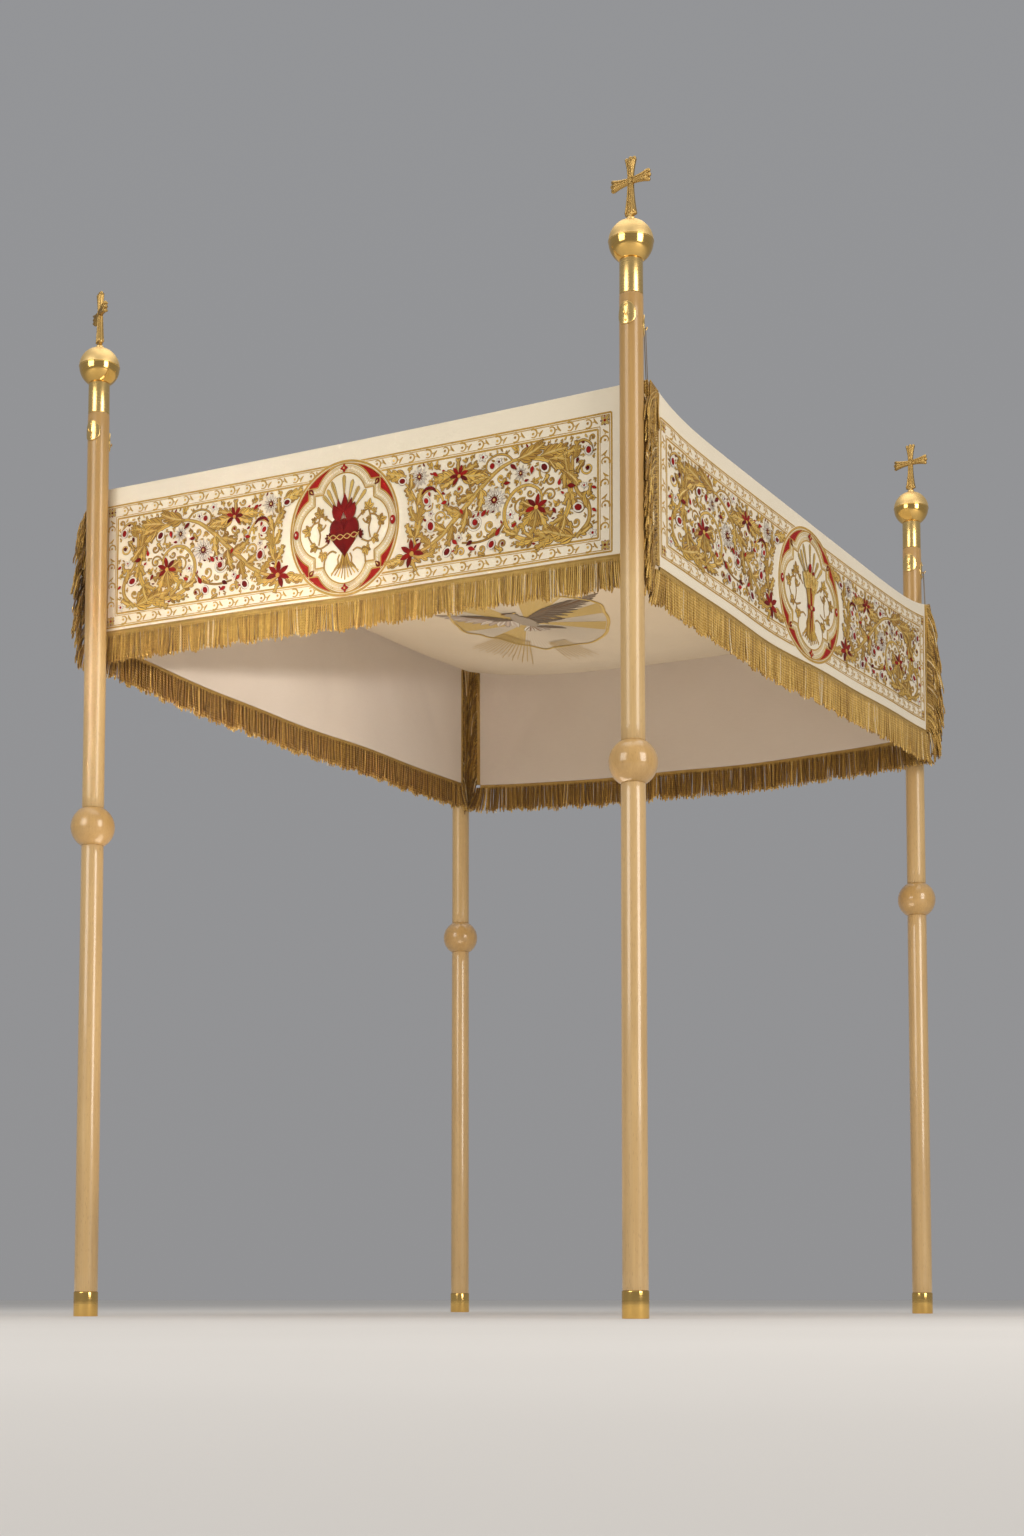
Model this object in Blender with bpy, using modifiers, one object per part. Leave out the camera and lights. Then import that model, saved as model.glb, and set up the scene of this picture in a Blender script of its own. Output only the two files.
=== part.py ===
"""A processional canopy: four wooden poles with brass fittings carry an embroidered cloth.

The cloth is a ceiling sheet that hangs by its corners from cord loops on the poles, with four
valances, a fringe along each hem and a fringe down both ends of each valance.
Units are metres and +Z is up. The origin is on the floor, at the centre of the whole outline.
The front valance faces -Y, and the valance on its right faces +X.
"""

import math
import random
from collections import namedtuple

import bmesh
import bpy
from mathutils import Vector

# Clearances between neighbouring pieces
CLEARANCE = 0.0003
SEAM_GAP = 0.0010
SEWN_GAP = 0.0006

# Cloth
CANOPY_WIDTH = 1.45
CANOPY_DEPTH = 1.80
CORNER_HEIGHT = 1.940
CEILING_THICKNESS = 0.0025
CEILING_BELLY = 0.105
BELLY_POWER = 0.75
CEILING_CELLS_X = 14
CEILING_CELLS_Y = 16
CEILING_RIPPLE = 0.004
RIPPLE_TURN_U = 3.0
RIPPLE_TURN_V = 9.0
VALANCE_THICKNESS = 0.003
VALANCE_CELLS = 22
VALANCE_ROWS = 4
CORNER_NOTCH = 0.040
SLOW_WAVES = 1.3
QUICK_WAVES = 3.3
QUICK_SHARE = 0.45
QUICK_PHASE = 1.7
SWAY_POWER = 1.5

# Fringe
FRINGE_THICKNESS = 0.004
BRAID_HEIGHT = 0.016
HEM_LOCK_PITCH = 0.0320
HEM_LOCK_TAPER = 0.74
SHORTEST_LOCK = 0.94
LONGEST_LOCK = 1.03
LOCK_SWING_ALONG = 0.0022
LOCK_SWING_OUT = 0.0030
EDGE_BRAID_WIDTH = 0.012
EDGE_LOCKS = 10
EDGE_LOCK_DROP = 0.082
EDGE_TOP_CLEARANCE = 0.006
EDGE_REACH_ALONG = 0.022
EDGE_REACH_BEYOND = 0.066
EDGE_REACH_OUT = 0.023

# The two stretches of an edge lock: shares of its reach and its fall, and the squeeze of its end
EDGE_LOCK_STEPS = ((0.66, 0.3, 0.82), (0.34, 0.7, 0.75))

# Poles, all sizes measured on the front pole
POLE_CLEAR_OF_CLOTH = 0.034
POLE_TOP = 2.412
LATHE_STEPS = 16
FERRULE_HEIGHT = 0.056
FERRULE_RADIUS = 0.0278
FERRULE_FLOOR = 0.003
FOOT_RADIUS = 0.0258
LOWER_POLE_RADIUS = 0.0267
UPPER_POLE_RADIUS = 0.0252
POLE_BALL_RADIUS = 0.051
POLE_BALL_HEIGHT = 1.130
POLE_BALL_FLAT = 0.0258
BALL_ARC_STEPS = 8
COLLAR_BOTTOM = 2.113
COLLAR_RADIUS = 0.0247
COLLAR_BORE = 0.0238
COLLAR_CAP = 0.002
SHOULDER = 0.003
FINIAL_BALL_RADIUS = 0.0472
FINIAL_BALL_HEIGHT = 2.228
FINIAL_BEAD = 0.0008
FINIAL_BEAD_HALF = 0.0015
NECK_RADIUS = 0.0085
NECK_HEIGHT = 0.006

# Cross on each finial ball
CROSS_THICKNESS = 0.010
CROSS_CENTRE_BELOW_TOP = 0.0525
CROSS_ARM_REACH = 0.0505
CROSS_ROOT_HALF = 0.0070
CROSS_END_HALF = 0.0135
CROSS_FOOT_HALF = 0.0130
CROSS_ANKLE = 0.0050
CROSS_LOBES = 3
LOBE_STEPS = 3
FLARE_STEPS = 3

# Hook plates
PLATE_HALF_HEIGHT = 0.025
PLATE_HALF_ANGLE = math.radians(48)
PLATE_COLUMNS = 6
PLATE_ROUNDING = 0.96
PLATE_MIDDLE_DROP = 0.004
PLATE_THICKNESS = 0.002
PLATE_SEAT = 0.0004
HOOK_WIRE_RADIUS = 0.0012
HOOK_REACH = 0.0085
HOOK_BEND = 0.0024
HOOK_RISE = 0.0065
HOOK_ROOT_RISE = 0.0010
HOOK_BELOW_MIDDLE = 0.006
SPARE_PLATE_HEIGHT = 2.068
HANGER_PLATE_HEIGHT = 2.052

# Hanger cords
CORD_RADIUS = 0.0010
CORD_LOOP_HALF = 0.0033
CORD_END_STEPS = 4
CORD_CORNER_INSET = 0.006
CORD_END_GAP = 0.0003

# A row for each corner: the signs of its place, how far its pole's axis stands inside the
# cloth's corner along X, the turns of its plates and cross about the pole in degrees, and
# how far the fringe at that corner fans out
Corner = namedtuple("Corner", "name sx sy pole_inset hanger_turn spare_turn cross_turn fan")
CORNERS = (
    Corner("front_left", -1, -1, 0.040, 70, -90, -37, 1.0),
    Corner("front_right", 1, -1, 0.022, 53, -90, -10, 1.0),
    Corner("back_right", 1, 1, 0.055, 30, -90, -8, 1.0),
    Corner("back_left", -1, 1, -0.045, -37, 90, -10, 0.3),
)

# A row for each side of the cloth, from its start corner to its end corner: the sag of its top
# edge and how squarely it sags, the drop from the corners' level to the hem at the start, the
# middle and the end, the length of its fringe's locks, and the size and phase of its soft waves
Side = namedtuple("Side", "name start end sag squareness drop_start drop_middle drop_end lock wave phase")
SIDES = (
    Side("front", "front_left", "front_right", 0.004, 2, 0.340, 0.350, 0.360, 0.062, 0.005, 0.4),
    Side("right", "front_right", "back_right", 0.038, 8, 0.384, 0.385, 0.358, 0.072, 0.008, 1.9),
    Side("back", "back_right", "back_left", 0.046, 4, 0.362, 0.384, 0.350, 0.068, 0.011, 0.0),
    Side("left", "back_left", "front_left", 0.014, 4, 0.350, 0.360, 0.345, 0.066, 0.010, 2.6),
)

# The back left pole stands furthest out, so the cloth is not quite centred on the outline
OUTLINE_LEFT = -CANOPY_WIDTH / 2 + CORNERS[3].pole_inset - POLE_BALL_RADIUS
OUTLINE_RIGHT = CANOPY_WIDTH / 2 - CORNERS[1].pole_inset + POLE_BALL_RADIUS
CANOPY_CENTRE_X = -(OUTLINE_LEFT + OUTLINE_RIGHT) / 2

# Colours in linear light, with roughness and metallic value
IVORY = (0.80, 0.72, 0.58)
GOLD_THREAD = (0.55, 0.33, 0.08)
PALE_WOOD = (0.55, 0.34, 0.14)
BRASS = (0.66, 0.42, 0.13)
GREY_CORD = (0.30, 0.27, 0.25)


def clear_scene():
    for obj in list(bpy.data.objects):
        bpy.data.objects.remove(obj, do_unlink=True)


def make_collection(name):
    collection = bpy.data.collections.new(name)
    bpy.context.scene.collection.children.link(collection)
    return collection


def make_material(name, colour, roughness, metallic=0.0):
    material = bpy.data.materials.new(name)
    material.use_nodes = True
    shader = material.node_tree.nodes["Principled BSDF"]
    shader.inputs["Base Color"].default_value = (*colour, 1.0)
    shader.inputs["Roughness"].default_value = roughness
    shader.inputs["Metallic"].default_value = metallic
    return material


def add_object(name, data, material, collection, location=(0.0, 0.0, 0.0), parent=None):
    obj = bpy.data.objects.new(name, data)
    obj.location = location
    obj.parent = parent
    collection.objects.link(obj)
    if not data.materials:
        data.materials.append(material)
    return obj


def mesh_from(bm, name):
    mesh = bpy.data.meshes.new(name)
    bm.to_mesh(mesh)
    bm.free()
    return mesh


def solidify(obj, thickness):
    modifier = obj.modifiers.new("thickness", "SOLIDIFY")
    modifier.thickness = thickness
    modifier.offset = 0.0


# Turned pieces

def profile_mesh(name, points):
    """A profile in the XZ plane, listed down its outer side."""
    bm = bmesh.new()
    verts = [bm.verts.new((radius, 0.0, height)) for radius, height in points]
    for first, second in zip(verts, verts[1:]):
        bm.edges.new((first, second))
    return mesh_from(bm, name)


def add_turned(name, points, material, collection, pole):
    obj = add_object(name, profile_mesh(name, points), material, collection, parent=pole)
    screw = obj.modifiers.new("turning", "SCREW")
    screw.steps = LATHE_STEPS
    screw.render_steps = LATHE_STEPS
    screw.use_merge_vertices = True
    screw.merge_threshold = 0.00005
    screw.use_smooth_shade = True
    return obj


def ball_arc(radius, centre, top_radius, bottom_radius, steps=BALL_ARC_STEPS):
    """Points down a ball from where it is top_radius wide to where it is bottom_radius wide."""
    first = math.asin(top_radius / radius)
    last = math.pi - math.asin(bottom_radius / radius)
    angles = [first + (last - first) * i / steps for i in range(steps + 1)]
    return [(radius * math.sin(a), centre + radius * math.cos(a)) for a in angles]


def flat_depth(radius, flat):
    return math.sqrt(radius ** 2 - flat ** 2)


POLE_BALL_DEPTH = flat_depth(POLE_BALL_RADIUS, POLE_BALL_FLAT)
LOWER_POLE_TOP = POLE_BALL_HEIGHT - POLE_BALL_DEPTH - CLEARANCE
UPPER_POLE_BOTTOM = POLE_BALL_HEIGHT + POLE_BALL_DEPTH + CLEARANCE
FINIAL_BALL_BOTTOM = FINIAL_BALL_HEIGHT - flat_depth(FINIAL_BALL_RADIUS, COLLAR_RADIUS)
COLLAR_TOP = FINIAL_BALL_BOTTOM - CLEARANCE
NECK_TOP = FINIAL_BALL_HEIGHT + flat_depth(FINIAL_BALL_RADIUS, NECK_RADIUS) + NECK_HEIGHT


def ferrule_profile():
    bore = FOOT_RADIUS + CLEARANCE
    return [
        (0.0, FERRULE_FLOOR),
        (bore, FERRULE_FLOOR),
        (bore, FERRULE_HEIGHT),
        (FERRULE_RADIUS, FERRULE_HEIGHT),
        (FERRULE_RADIUS, 0.0),
        (0.0, 0.0),
    ]


def lower_pole_profile():
    step = FERRULE_HEIGHT + CLEARANCE
    foot = FERRULE_FLOOR + CLEARANCE
    return [
        (0.0, LOWER_POLE_TOP),
        (POLE_BALL_FLAT, LOWER_POLE_TOP),
        (LOWER_POLE_RADIUS, step),
        (FOOT_RADIUS, step),
        (FOOT_RADIUS, foot),
        (0.0, foot),
    ]


def pole_ball_profile():
    arc = ball_arc(POLE_BALL_RADIUS, POLE_BALL_HEIGHT, POLE_BALL_FLAT, POLE_BALL_FLAT)
    return [(0.0, arc[0][1])] + arc + [(0.0, arc[-1][1])]


def upper_pole_profile():
    spigot = COLLAR_BORE - CLEARANCE
    spigot_top = COLLAR_TOP - COLLAR_CAP - CLEARANCE
    shoulder = COLLAR_BOTTOM - CLEARANCE
    return [
        (0.0, spigot_top),
        (spigot, spigot_top),
        (spigot, shoulder),
        (UPPER_POLE_RADIUS - SHOULDER / 4, shoulder),
        (UPPER_POLE_RADIUS, shoulder - SHOULDER),
        (UPPER_POLE_RADIUS, UPPER_POLE_BOTTOM),
        (0.0, UPPER_POLE_BOTTOM),
    ]


def collar_profile():
    cap = COLLAR_TOP - COLLAR_CAP
    return [
        (0.0, COLLAR_TOP),
        (COLLAR_RADIUS, COLLAR_TOP),
        (COLLAR_RADIUS, COLLAR_BOTTOM),
        (COLLAR_BORE, COLLAR_BOTTOM),
        (COLLAR_BORE, cap),
        (0.0, cap),
    ]


def finial_ball_profile():
    """Two pressed halves with a raised bead where they meet, and a neck for the cross."""
    half_steps = BALL_ARC_STEPS // 2
    bead_radius = flat_depth(FINIAL_BALL_RADIUS, FINIAL_BEAD_HALF)
    upper = ball_arc(FINIAL_BALL_RADIUS, FINIAL_BALL_HEIGHT, NECK_RADIUS, FINIAL_BALL_RADIUS, half_steps)
    lower = ball_arc(FINIAL_BALL_RADIUS, FINIAL_BALL_HEIGHT, FINIAL_BALL_RADIUS, COLLAR_RADIUS, half_steps)
    bead = [
        (bead_radius, FINIAL_BALL_HEIGHT + FINIAL_BEAD_HALF),
        (FINIAL_BALL_RADIUS + FINIAL_BEAD, FINIAL_BALL_HEIGHT),
        (bead_radius, FINIAL_BALL_HEIGHT - FINIAL_BEAD_HALF),
    ]
    neck = [(0.0, NECK_TOP), (NECK_RADIUS, NECK_TOP)]
    return neck + upper[:-1] + bead + lower[1:] + [(0.0, FINIAL_BALL_BOTTOM)]


# The cross

def arm_outline(reach, root_half, end_half):
    """Half widths across an arm and distances along it, round its flared end with three lobes."""
    lobe = end_half / CROSS_LOBES
    straight = reach - lobe
    side = []
    for i in range(FLARE_STEPS):
        share = i / FLARE_STEPS
        along = root_half + (straight - root_half) * share
        side.append((root_half + (end_half - root_half) * share ** 2, along))
    end = []
    for number in range(CROSS_LOBES):
        centre = end_half - lobe * (2 * number + 1)
        for i in range(LOBE_STEPS + 1):
            angle = math.pi * i / LOBE_STEPS
            if number and i == 0:
                continue
            end.append((centre + lobe * math.cos(angle), straight + lobe * math.sin(angle)))
    mirrored = [(-across, along) for across, along in reversed(side)]
    return side + end + mirrored


def cross_outline():
    """The cross seen from the front, counter-clockwise, with its foot at height 0."""
    height = POLE_TOP - NECK_TOP - CLEARANCE
    centre = height - CROSS_CENTRE_BELOW_TOP
    arm = arm_outline(CROSS_ARM_REACH, CROSS_ROOT_HALF, CROSS_END_HALF)
    top = arm_outline(CROSS_CENTRE_BELOW_TOP, CROSS_ROOT_HALF, CROSS_END_HALF)
    points = [(along, centre - across) for across, along in arm[1:]]
    points += [(across, centre + along) for across, along in top[:-1]]
    points += [(-along, centre + across) for across, along in arm[:-1]]
    stem_top = centre - CROSS_ROOT_HALF
    left = []
    for i in range(FLARE_STEPS + 1):
        share = i / FLARE_STEPS
        half = CROSS_ROOT_HALF + (CROSS_FOOT_HALF - CROSS_ROOT_HALF) * share ** 2
        left.append((-half, stem_top + (CROSS_ANKLE - stem_top) * share))
    left.append((-NECK_RADIUS, 0.0))
    right = [(-across, along) for across, along in reversed(left)]
    return points + left + right


def cross_curve():
    curve = bpy.data.curves.new("cross", "CURVE")
    curve.dimensions = "2D"
    curve.fill_mode = "BOTH"
    curve.extrude = CROSS_THICKNESS / 2
    outline = cross_outline()
    spline = curve.splines.new("POLY")
    spline.points.add(len(outline) - 1)
    for point, (across, height) in zip(spline.points, outline):
        point.co = (across, height, 0.0, 1.0)
    spline.use_cyclic_u = True
    return curve


def add_cross(corner, curve, material, collection, pole):
    obj = add_object(f"cross_{corner.name}", curve, material, collection, parent=pole)
    obj.location = (0.0, 0.0, NECK_TOP + CLEARANCE)
    obj.rotation_euler = (math.pi / 2, 0.0, math.radians(corner.cross_turn))
    return obj


# Hook plates

PLATE_COLUMN_HALF_ANGLE = PLATE_HALF_ANGLE / PLATE_COLUMNS
PLATE_INNER = (UPPER_POLE_RADIUS + PLATE_SEAT) / math.cos(PLATE_COLUMN_HALF_ANGLE)
PLATE_MIDDLE = PLATE_INNER + PLATE_THICKNESS / 2
PLATE_OUTER = PLATE_INNER + PLATE_THICKNESS
CORD_SEAT_RADIUS = PLATE_OUTER + HOOK_REACH / 2 - HOOK_WIRE_RADIUS / 2


def plate_sheet():
    """An egg-shaped sheet bent round the pole, facing +X, widest a little below its middle."""
    bm = bmesh.new()
    bmesh.ops.create_grid(bm, x_segments=PLATE_COLUMNS, y_segments=2, size=1.0)
    for vert in bm.verts:
        across, up = vert.co.x, vert.co.y
        angle = across * PLATE_HALF_ANGLE
        half = PLATE_HALF_HEIGHT * math.sqrt(1.0 - (PLATE_ROUNDING * across) ** 2)
        height = up * half - PLATE_MIDDLE_DROP * (1.0 - across ** 2) * (1.0 - up ** 2)
        vert.co = (PLATE_MIDDLE * math.cos(angle), PLATE_MIDDLE * math.sin(angle), height)
    return mesh_from(bm, "plate_sheet")


def hook_curve():
    """An upturned prong, from inside the plate outwards and up."""
    leg = PLATE_OUTER + HOOK_REACH
    bend_radius = leg - HOOK_BEND
    bend_height = HOOK_BEND - HOOK_BELOW_MIDDLE
    points = [(PLATE_MIDDLE, HOOK_ROOT_RISE - HOOK_BELOW_MIDDLE)]
    for degrees in (-90, -45, 0):
        angle = math.radians(degrees)
        points.append((bend_radius + HOOK_BEND * math.cos(angle), bend_height + HOOK_BEND * math.sin(angle)))
    points.append((leg, HOOK_RISE - HOOK_BELOW_MIDDLE))
    curve = bpy.data.curves.new("hook", "CURVE")
    curve.dimensions = "3D"
    curve.bevel_depth = HOOK_WIRE_RADIUS
    curve.bevel_resolution = 1
    curve.use_fill_caps = True
    spline = curve.splines.new("POLY")
    spline.points.add(len(points) - 1)
    for point, (radius, height) in zip(spline.points, points):
        point.co = (radius, 0.0, height, 1.0)
    return curve


def evaluated_mesh(obj, weld):
    """The mesh that an object shows, as a mesh of its own, with vertices this close joined."""
    graph = bpy.context.evaluated_depsgraph_get()
    mesh = bpy.data.meshes.new_from_object(obj.evaluated_get(graph))
    bm = bmesh.new()
    bm.from_mesh(mesh)
    bmesh.ops.remove_doubles(bm, verts=bm.verts, dist=weld)
    bm.to_mesh(mesh)
    bm.free()
    return mesh


def hook_plate_mesh(material, guides):
    """The plate and its prong as one mesh, joined by a union."""
    prong_curve = add_object("prong_curve", hook_curve(), material, guides)
    prong = add_object("prong", evaluated_mesh(prong_curve, 0.00001), material, guides)
    bpy.data.objects.remove(prong_curve, do_unlink=True)
    prong.hide_render = True
    prong.display_type = "WIRE"
    sheet = add_object("plate", plate_sheet(), material, guides)
    solidify(sheet, PLATE_THICKNESS)
    union = sheet.modifiers.new("prong", "BOOLEAN")
    union.operation = "UNION"
    union.object = prong
    mesh = evaluated_mesh(sheet, 0.000005)
    bpy.data.objects.remove(sheet, do_unlink=True)
    bpy.data.objects.remove(prong, do_unlink=True)
    return mesh


def add_plate(name, mesh, turn, height, material, collection, pole):
    obj = add_object(name, mesh, material, collection, parent=pole)
    obj.location = (0.0, 0.0, height)
    obj.rotation_euler = (0.0, 0.0, math.radians(turn))
    return obj


# Places

def corner_point(corner):
    x = CANOPY_CENTRE_X + corner.sx * CANOPY_WIDTH / 2
    return Vector((x, corner.sy * CANOPY_DEPTH / 2, CORNER_HEIGHT))


def pole_place(corner):
    x = CANOPY_CENTRE_X + corner.sx * (CANOPY_WIDTH / 2 - corner.pole_inset)
    return Vector((x, corner.sy * (CANOPY_DEPTH / 2 + POLE_CLEAR_OF_CLOTH), 0.0))


CORNER_BY_NAME = {corner.name: corner for corner in CORNERS}


def side_frame(side):
    """Start corner, direction along the side, outward direction and length."""
    start = corner_point(CORNER_BY_NAME[side.start])
    end = corner_point(CORNER_BY_NAME[side.end])
    along = (end - start).normalized()
    outward = Vector((along.y, -along.x, 0.0))
    return start, along, outward, (end - start).length


# The cloth's shape

def edge_height(side, share):
    return CORNER_HEIGHT - side.sag * (1.0 - abs(2.0 * share - 1.0) ** side.squareness)


def hem_height(side, share):
    """A parabola through the drops at the start, the middle and the end."""
    rise = side.drop_end - side.drop_start
    bulge = 4.0 * side.drop_middle - 2.0 * (side.drop_start + side.drop_end)
    drop = side.drop_start + rise * share + bulge * share * (1.0 - share)
    return CORNER_HEIGHT - drop


def sway(side, share):
    """How far the hem swings out of its side's plane, nothing at both ends."""
    slow = math.sin(2 * math.pi * SLOW_WAVES * share + side.phase)
    quick = QUICK_SHARE * math.sin(2 * math.pi * QUICK_WAVES * share + QUICK_PHASE * side.phase)
    return side.wave * (slow + quick) * 4.0 * share * (1.0 - share)


def side_point(side, distance, depth, half_thickness, drop=0.0):
    """A point of a side: depth is 0 at its top edge and 1 at its hem, and drop goes below it."""
    start, along, outward, length = side_frame(side)
    share = distance / length
    top = edge_height(side, share) + CEILING_THICKNESS / 2
    height = top + (hem_height(side, share) - top) * depth - drop
    out = SEAM_GAP + half_thickness + sway(side, share) * depth ** SWAY_POWER
    point = start + along * distance + outward * out
    point.z = height
    return point


def ceiling_height(u, v):
    """The sheet blends its four edges and bellies down between them; u and v run from -1 to 1."""
    front, right, back, left = SIDES
    across = (1 + u) / 2
    deep = (1 + v) / 2
    by_depth = edge_height(front, across) * (1 - deep) + edge_height(back, 1 - across) * deep
    by_width = edge_height(left, 1 - deep) * (1 - across) + edge_height(right, deep) * across
    dome = ((1 - u * u) * (1 - v * v)) ** BELLY_POWER
    turn = RIPPLE_TURN_U * u + RIPPLE_TURN_V * v
    ripple = CEILING_RIPPLE * math.sin(turn) * (1 - u * u) * (1 - v * v)
    return by_depth + by_width - CORNER_HEIGHT - CEILING_BELLY * dome + ripple


def sheet_top_near(corner, inset):
    """The height of the sheet's upper face this far in from a corner along both of its edges."""
    first_u = math.cos(math.pi / CEILING_CELLS_X)
    first_v = math.cos(math.pi / CEILING_CELLS_Y)
    share_u = inset / (CANOPY_WIDTH / 2 * (1 - first_u))
    share_v = inset / (CANOPY_DEPTH / 2 * (1 - first_v))
    edge_u = ceiling_height(corner.sx * first_u, corner.sy)
    edge_v = ceiling_height(corner.sx, corner.sy * first_v)
    inner = ceiling_height(corner.sx * first_u, corner.sy * first_v)
    near = CORNER_HEIGHT * (1 - share_u) + edge_u * share_u
    far = edge_v * (1 - share_u) + inner * share_u
    return near * (1 - share_v) + far * share_v + CEILING_THICKNESS / 2


def add_ceiling(material, collection):
    bm = bmesh.new()
    bmesh.ops.create_grid(bm, x_segments=CEILING_CELLS_X, y_segments=CEILING_CELLS_Y, size=1.0)
    for vert in bm.verts:
        u = math.sin(vert.co.x * math.pi / 2)
        v = math.sin(vert.co.y * math.pi / 2)
        x = CANOPY_CENTRE_X + u * CANOPY_WIDTH / 2
        vert.co = (x, v * CANOPY_DEPTH / 2, ceiling_height(u, v))
    obj = add_object("ceiling", mesh_from(bm, "ceiling"), material, collection)
    solidify(obj, CEILING_THICKNESS)
    return obj


def add_valance(side, material, collection):
    length = side_frame(side)[3]
    bm = bmesh.new()
    bmesh.ops.create_grid(bm, x_segments=VALANCE_CELLS, y_segments=VALANCE_ROWS, size=1.0)
    for vert in bm.verts:
        distance = CORNER_NOTCH + (length - 2 * CORNER_NOTCH) * (vert.co.x + 1) / 2
        depth = (1 - vert.co.y) / 2
        vert.co = side_point(side, distance, depth, VALANCE_THICKNESS / 2)
    name = f"valance_{side.name}"
    obj = add_object(name, mesh_from(bm, name), material, collection)
    solidify(obj, VALANCE_THICKNESS)
    return obj


# Fringe

def grow_lock(bm, edge, steps):
    """Extrudes one lock from its root edge, through a list of moves and squeezes of its end."""
    root = [vert.co.copy() for vert in edge.verts]
    middle = (root[0] + root[1]) / 2
    for move, squeeze in steps:
        made = bmesh.ops.extrude_edge_only(bm, edges=[edge])["geom"]
        edge = next(item for item in made if isinstance(item, bmesh.types.BMEdge))
        for vert in edge.verts:
            nearest = min(root, key=lambda corner: (corner - vert.co).length)
            vert.co = middle + move + (nearest - middle) * squeeze
        root = [vert.co.copy() for vert in edge.verts]
        middle = (root[0] + root[1]) / 2


def boundary_edges_where(bm, test):
    return [edge for edge in bm.edges if edge.is_boundary and all(test(vert) for vert in edge.verts)]


def add_hem_fringe(side, material, collection, chance):
    """A braid under the hem, with locks whose roots it joins."""
    length = side_frame(side)[3]
    run = length - 2 * CORNER_NOTCH
    locks = round(run / HEM_LOCK_PITCH)
    along, outward = side_frame(side)[1:3]
    bm = bmesh.new()
    bmesh.ops.create_grid(bm, x_segments=locks, y_segments=1, size=1.0)
    low_row = [vert for vert in bm.verts if vert.co.y < 0]
    for vert in bm.verts:
        distance = CORNER_NOTCH + run * (vert.co.x + 1) / 2
        drop = SEWN_GAP if vert.co.y > 0 else BRAID_HEIGHT
        vert.co = side_point(side, distance, 1.0, FRINGE_THICKNESS / 2, drop)
    low_verts = set(low_row)
    for edge in boundary_edges_where(bm, low_verts.__contains__):
        reach = side.lock * chance.uniform(SHORTEST_LOCK, LONGEST_LOCK)
        swing = along * chance.uniform(-LOCK_SWING_ALONG, LOCK_SWING_ALONG)
        swing += outward * chance.uniform(-LOCK_SWING_OUT, LOCK_SWING_OUT)
        grow_lock(bm, edge, [(Vector((0.0, 0.0, -reach)) + swing, HEM_LOCK_TAPER)])
    name = f"hem_fringe_{side.name}"
    obj = add_object(name, mesh_from(bm, name), material, collection)
    solidify(obj, FRINGE_THICKNESS)
    return obj


def add_edge_fringe(side, at_end, material, collection):
    """A braid beyond one upright edge of a valance, with locks that fall away from it."""
    along, outward, length = side_frame(side)[1:]
    corner = CORNER_BY_NAME[side.end if at_end else side.start]
    beyond = along if at_end else -along
    inner = CORNER_NOTCH - SEWN_GAP
    outer = inner - EDGE_BRAID_WIDTH
    bm = bmesh.new()
    bmesh.ops.create_grid(bm, x_segments=1, y_segments=EDGE_LOCKS, size=1.0)
    outer_verts = {vert for vert in bm.verts if vert.co.x > 0}
    for vert in bm.verts:
        from_corner = outer if vert.co.x > 0 else inner
        distance = length - from_corner if at_end else from_corner
        depth = (1 - vert.co.y) / 2
        vert.co = side_point(side, distance, depth, FRINGE_THICKNESS / 2)
        vert.co.z -= EDGE_TOP_CLEARANCE * (1 - depth)
    if abs(along.x) > 0.5:
        reach = beyond * EDGE_REACH_ALONG
    else:
        reach = (beyond * EDGE_REACH_BEYOND + outward * EDGE_REACH_OUT) * corner.fan
    fall = Vector((0.0, 0.0, -EDGE_LOCK_DROP))
    steps = [(reach * out + fall * down, squeeze) for out, down, squeeze in EDGE_LOCK_STEPS]
    for edge in boundary_edges_where(bm, outer_verts.__contains__):
        grow_lock(bm, edge, steps)
    if not at_end:
        bmesh.ops.reverse_faces(bm, faces=bm.faces)
    name = f"edge_fringe_{side.name}_{corner.name}"
    obj = add_object(name, mesh_from(bm, name), material, collection)
    solidify(obj, FRINGE_THICKNESS)
    return obj


# Hanger cords

def add_hanger_cord(corner, material, collection):
    """A closed loop of cord, round the hook's prong and down to the cloth's corner."""
    turn = math.radians(corner.hanger_turn)
    radial = Vector((math.cos(turn), math.sin(turn), 0.0))
    prong = pole_place(corner) + radial * CORD_SEAT_RADIUS
    prong.z = HANGER_PLATE_HEIGHT - HOOK_BELOW_MIDDLE
    hung = corner_point(corner)
    hung.x -= corner.sx * CORD_CORNER_INSET
    hung.y -= corner.sy * CORD_CORNER_INSET
    hung.z = sheet_top_near(corner, CORD_CORNER_INSET) + CORD_RADIUS + CORD_END_GAP
    down = (hung - prong).normalized()
    pull = (down - radial * down.dot(radial)).normalized()
    across = radial.cross(pull)
    hung.z += CORD_LOOP_HALF * math.hypot(down.z, across.z)
    curve = bpy.data.curves.new(f"hanger_cord_{corner.name}", "CURVE")
    curve.dimensions = "3D"
    curve.bevel_depth = CORD_RADIUS
    curve.bevel_resolution = 1
    points = []
    for centre, bow, first in ((prong, -pull, across), (hung, down, -across)):
        for i in range(CORD_END_STEPS + 1):
            angle = math.pi * i / CORD_END_STEPS
            points.append(centre + (bow * math.sin(angle) + first * math.cos(angle)) * CORD_LOOP_HALF)
    spline = curve.splines.new("POLY")
    spline.points.add(len(points) - 1)
    for point, place in zip(spline.points, points):
        point.co = (*place, 1.0)
    spline.use_cyclic_u = True
    return add_object(curve.name, curve, material, collection)


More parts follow.
